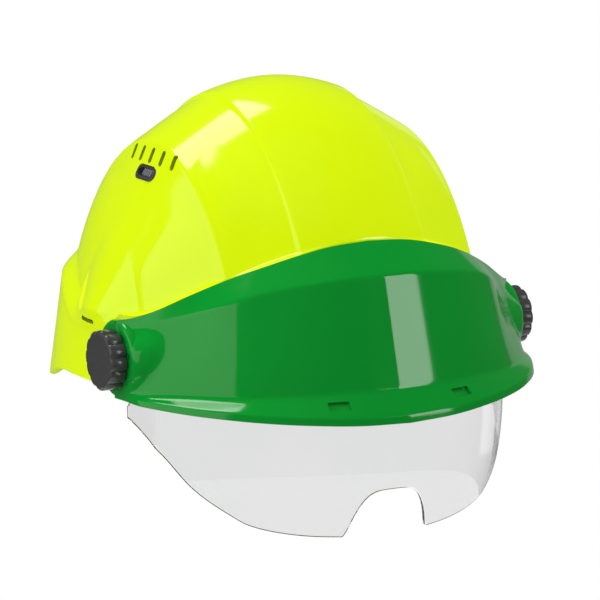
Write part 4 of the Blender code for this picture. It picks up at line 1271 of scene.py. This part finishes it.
def make_studio():
    """White to the camera and through the lens, dim to everything else; soft lights and a pale floor."""
    world = bpy.data.worlds.new("studio")
    world.use_nodes = True
    tree = world.node_tree
    seen = tree.nodes["Background"]
    seen.inputs["Color"].default_value = (1, 1, 1, 1)
    around = tree.nodes.new("ShaderNodeBackground")
    around.inputs["Color"].default_value = (1, 1, 1, 1)
    around.inputs["Strength"].default_value = AROUND
    rays = tree.nodes.new("ShaderNodeLightPath")
    choice = tree.nodes.new("ShaderNodeMixShader")
    direct = tree.nodes.new("ShaderNodeMath")
    direct.operation = "MAXIMUM"
    tree.links.new(rays.outputs["Is Camera Ray"], direct.inputs[0])
    tree.links.new(rays.outputs["Is Transmission Ray"], direct.inputs[1])
    tree.links.new(direct.outputs["Value"], choice.inputs["Fac"])
    tree.links.new(around.outputs["Background"], choice.inputs[1])
    tree.links.new(seen.outputs["Background"], choice.inputs[2])
    tree.links.new(choice.outputs["Shader"], tree.nodes["World Output"].inputs["Surface"])
    bpy.context.scene.world = world
    bm = bmesh.new()
    bmesh.ops.create_circle(bm, cap_ends=True, segments=64, radius=FLOOR_RADIUS,
                            matrix=Matrix.Translation((0, 0, FLOOR_Z)))
    finish, _, shader = new_material("pale_floor")
    shader.inputs["Base Color"].default_value = (0.8, 0.8, 0.8, 1)
    shader.inputs["Roughness"].default_value = 0.9
    floor = object_from("floor", mesh_from_bmesh("floor", bm), finish)
    for name, (way, distance, size, watts, glossy) in SOFTBOXES.items():
        softbox(name, way, distance, size, watts).visible_glossy = glossy
    bpy.context.scene.view_settings.view_transform = "Standard"


make_camera()
make_studio()

# Colour of the painted glow: emitted light that keeps the yellow shell bright in its shade.
PAINTED_LIGHT = (0.76, 1.0, 0.0)
yellow = moulded("yellow_gloss_painted_glow", (0.30, 0.39, 0.0), 0.1, 0.02, 700, 0.01, 0.47, PAINTED_LIGHT)
# Cut faces of the vents, bores and accessory slots: a darker copy of the yellow with almost none of its glow,
# painted shade in the recesses.
slot_shade = moulded("slot_walls_painted_shade", (0.24, 0.3, 0.0), 0.4, 0.04, 700, 0.01, 0.03, PAINTED_LIGHT)
green = moulded("green_gloss", (0.0, 0.245, 0.02), 0.1, 0.02, grain=700, bump=0.008)
black = moulded("black_nylon", (0.042, 0.042, 0.043), 0.22, bump=0.06)
grey = moulded("grey_nylon", (0.16, 0.16, 0.18), 0.35, bump=0.06)
cradle = moulded("cradle_plastic", (0.045, 0.045, 0.05), 0.45, bump=0.08)
rubber = moulded("rubber", (0.02, 0.02, 0.02), 0.75, bump=0.1)
steel = plated_steel("zinc_steel")
clear = clear_plastic("lens_clear")
web = woven("webbing", (0.09, 0.09, 0.1))
foam = knitted("foam_cover", (0.08, 0.08, 0.09))
thread = woven("thread", (0.3, 0.3, 0.32), 0.0004)

for name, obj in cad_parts.items():
    finish = cradle
    if name.startswith("clamp_stud") or name == "ratchet_pinion":
        finish = steel
    elif name.startswith("friction"):
        finish = rubber
    elif name.startswith("ratchet"):
        finish = black
    elif name.startswith("crown"):
        finish = web
    elif name in ("sweatband", "nape_pad"):
        finish = foam
    for place in obj.material_slots:
        place.material = finish

make_shell(yellow, slot_shade)
make_guard(green)
make_lens(clear)
make_clamps(black)
make_studs(steel)
make_vents(black, grey)
make_headband(cradle)
make_nape_bands(cradle)
make_ratchet(black)
make_straps(web, cradle, thread)
make_pad("sweatband_skin", "sweatband", SWEATBAND_DEG, BAND_RADIUS - SWEATBAND_INSIDE,
         BAND_LOW - 1, BAND_HIGH + 1, SWEATBAND_THICKNESS, foam, thread)
make_pad("nape_pad_skin", "nape_pad", NAPE_PAD_DEG, NAPE_PAD_RADIUS, RATCHET_Z - NAPE_PAD_HEIGHT / 2,
         RATCHET_Z + NAPE_PAD_HEIGHT / 2, NAPE_PAD_THICKNESS, foam, thread)
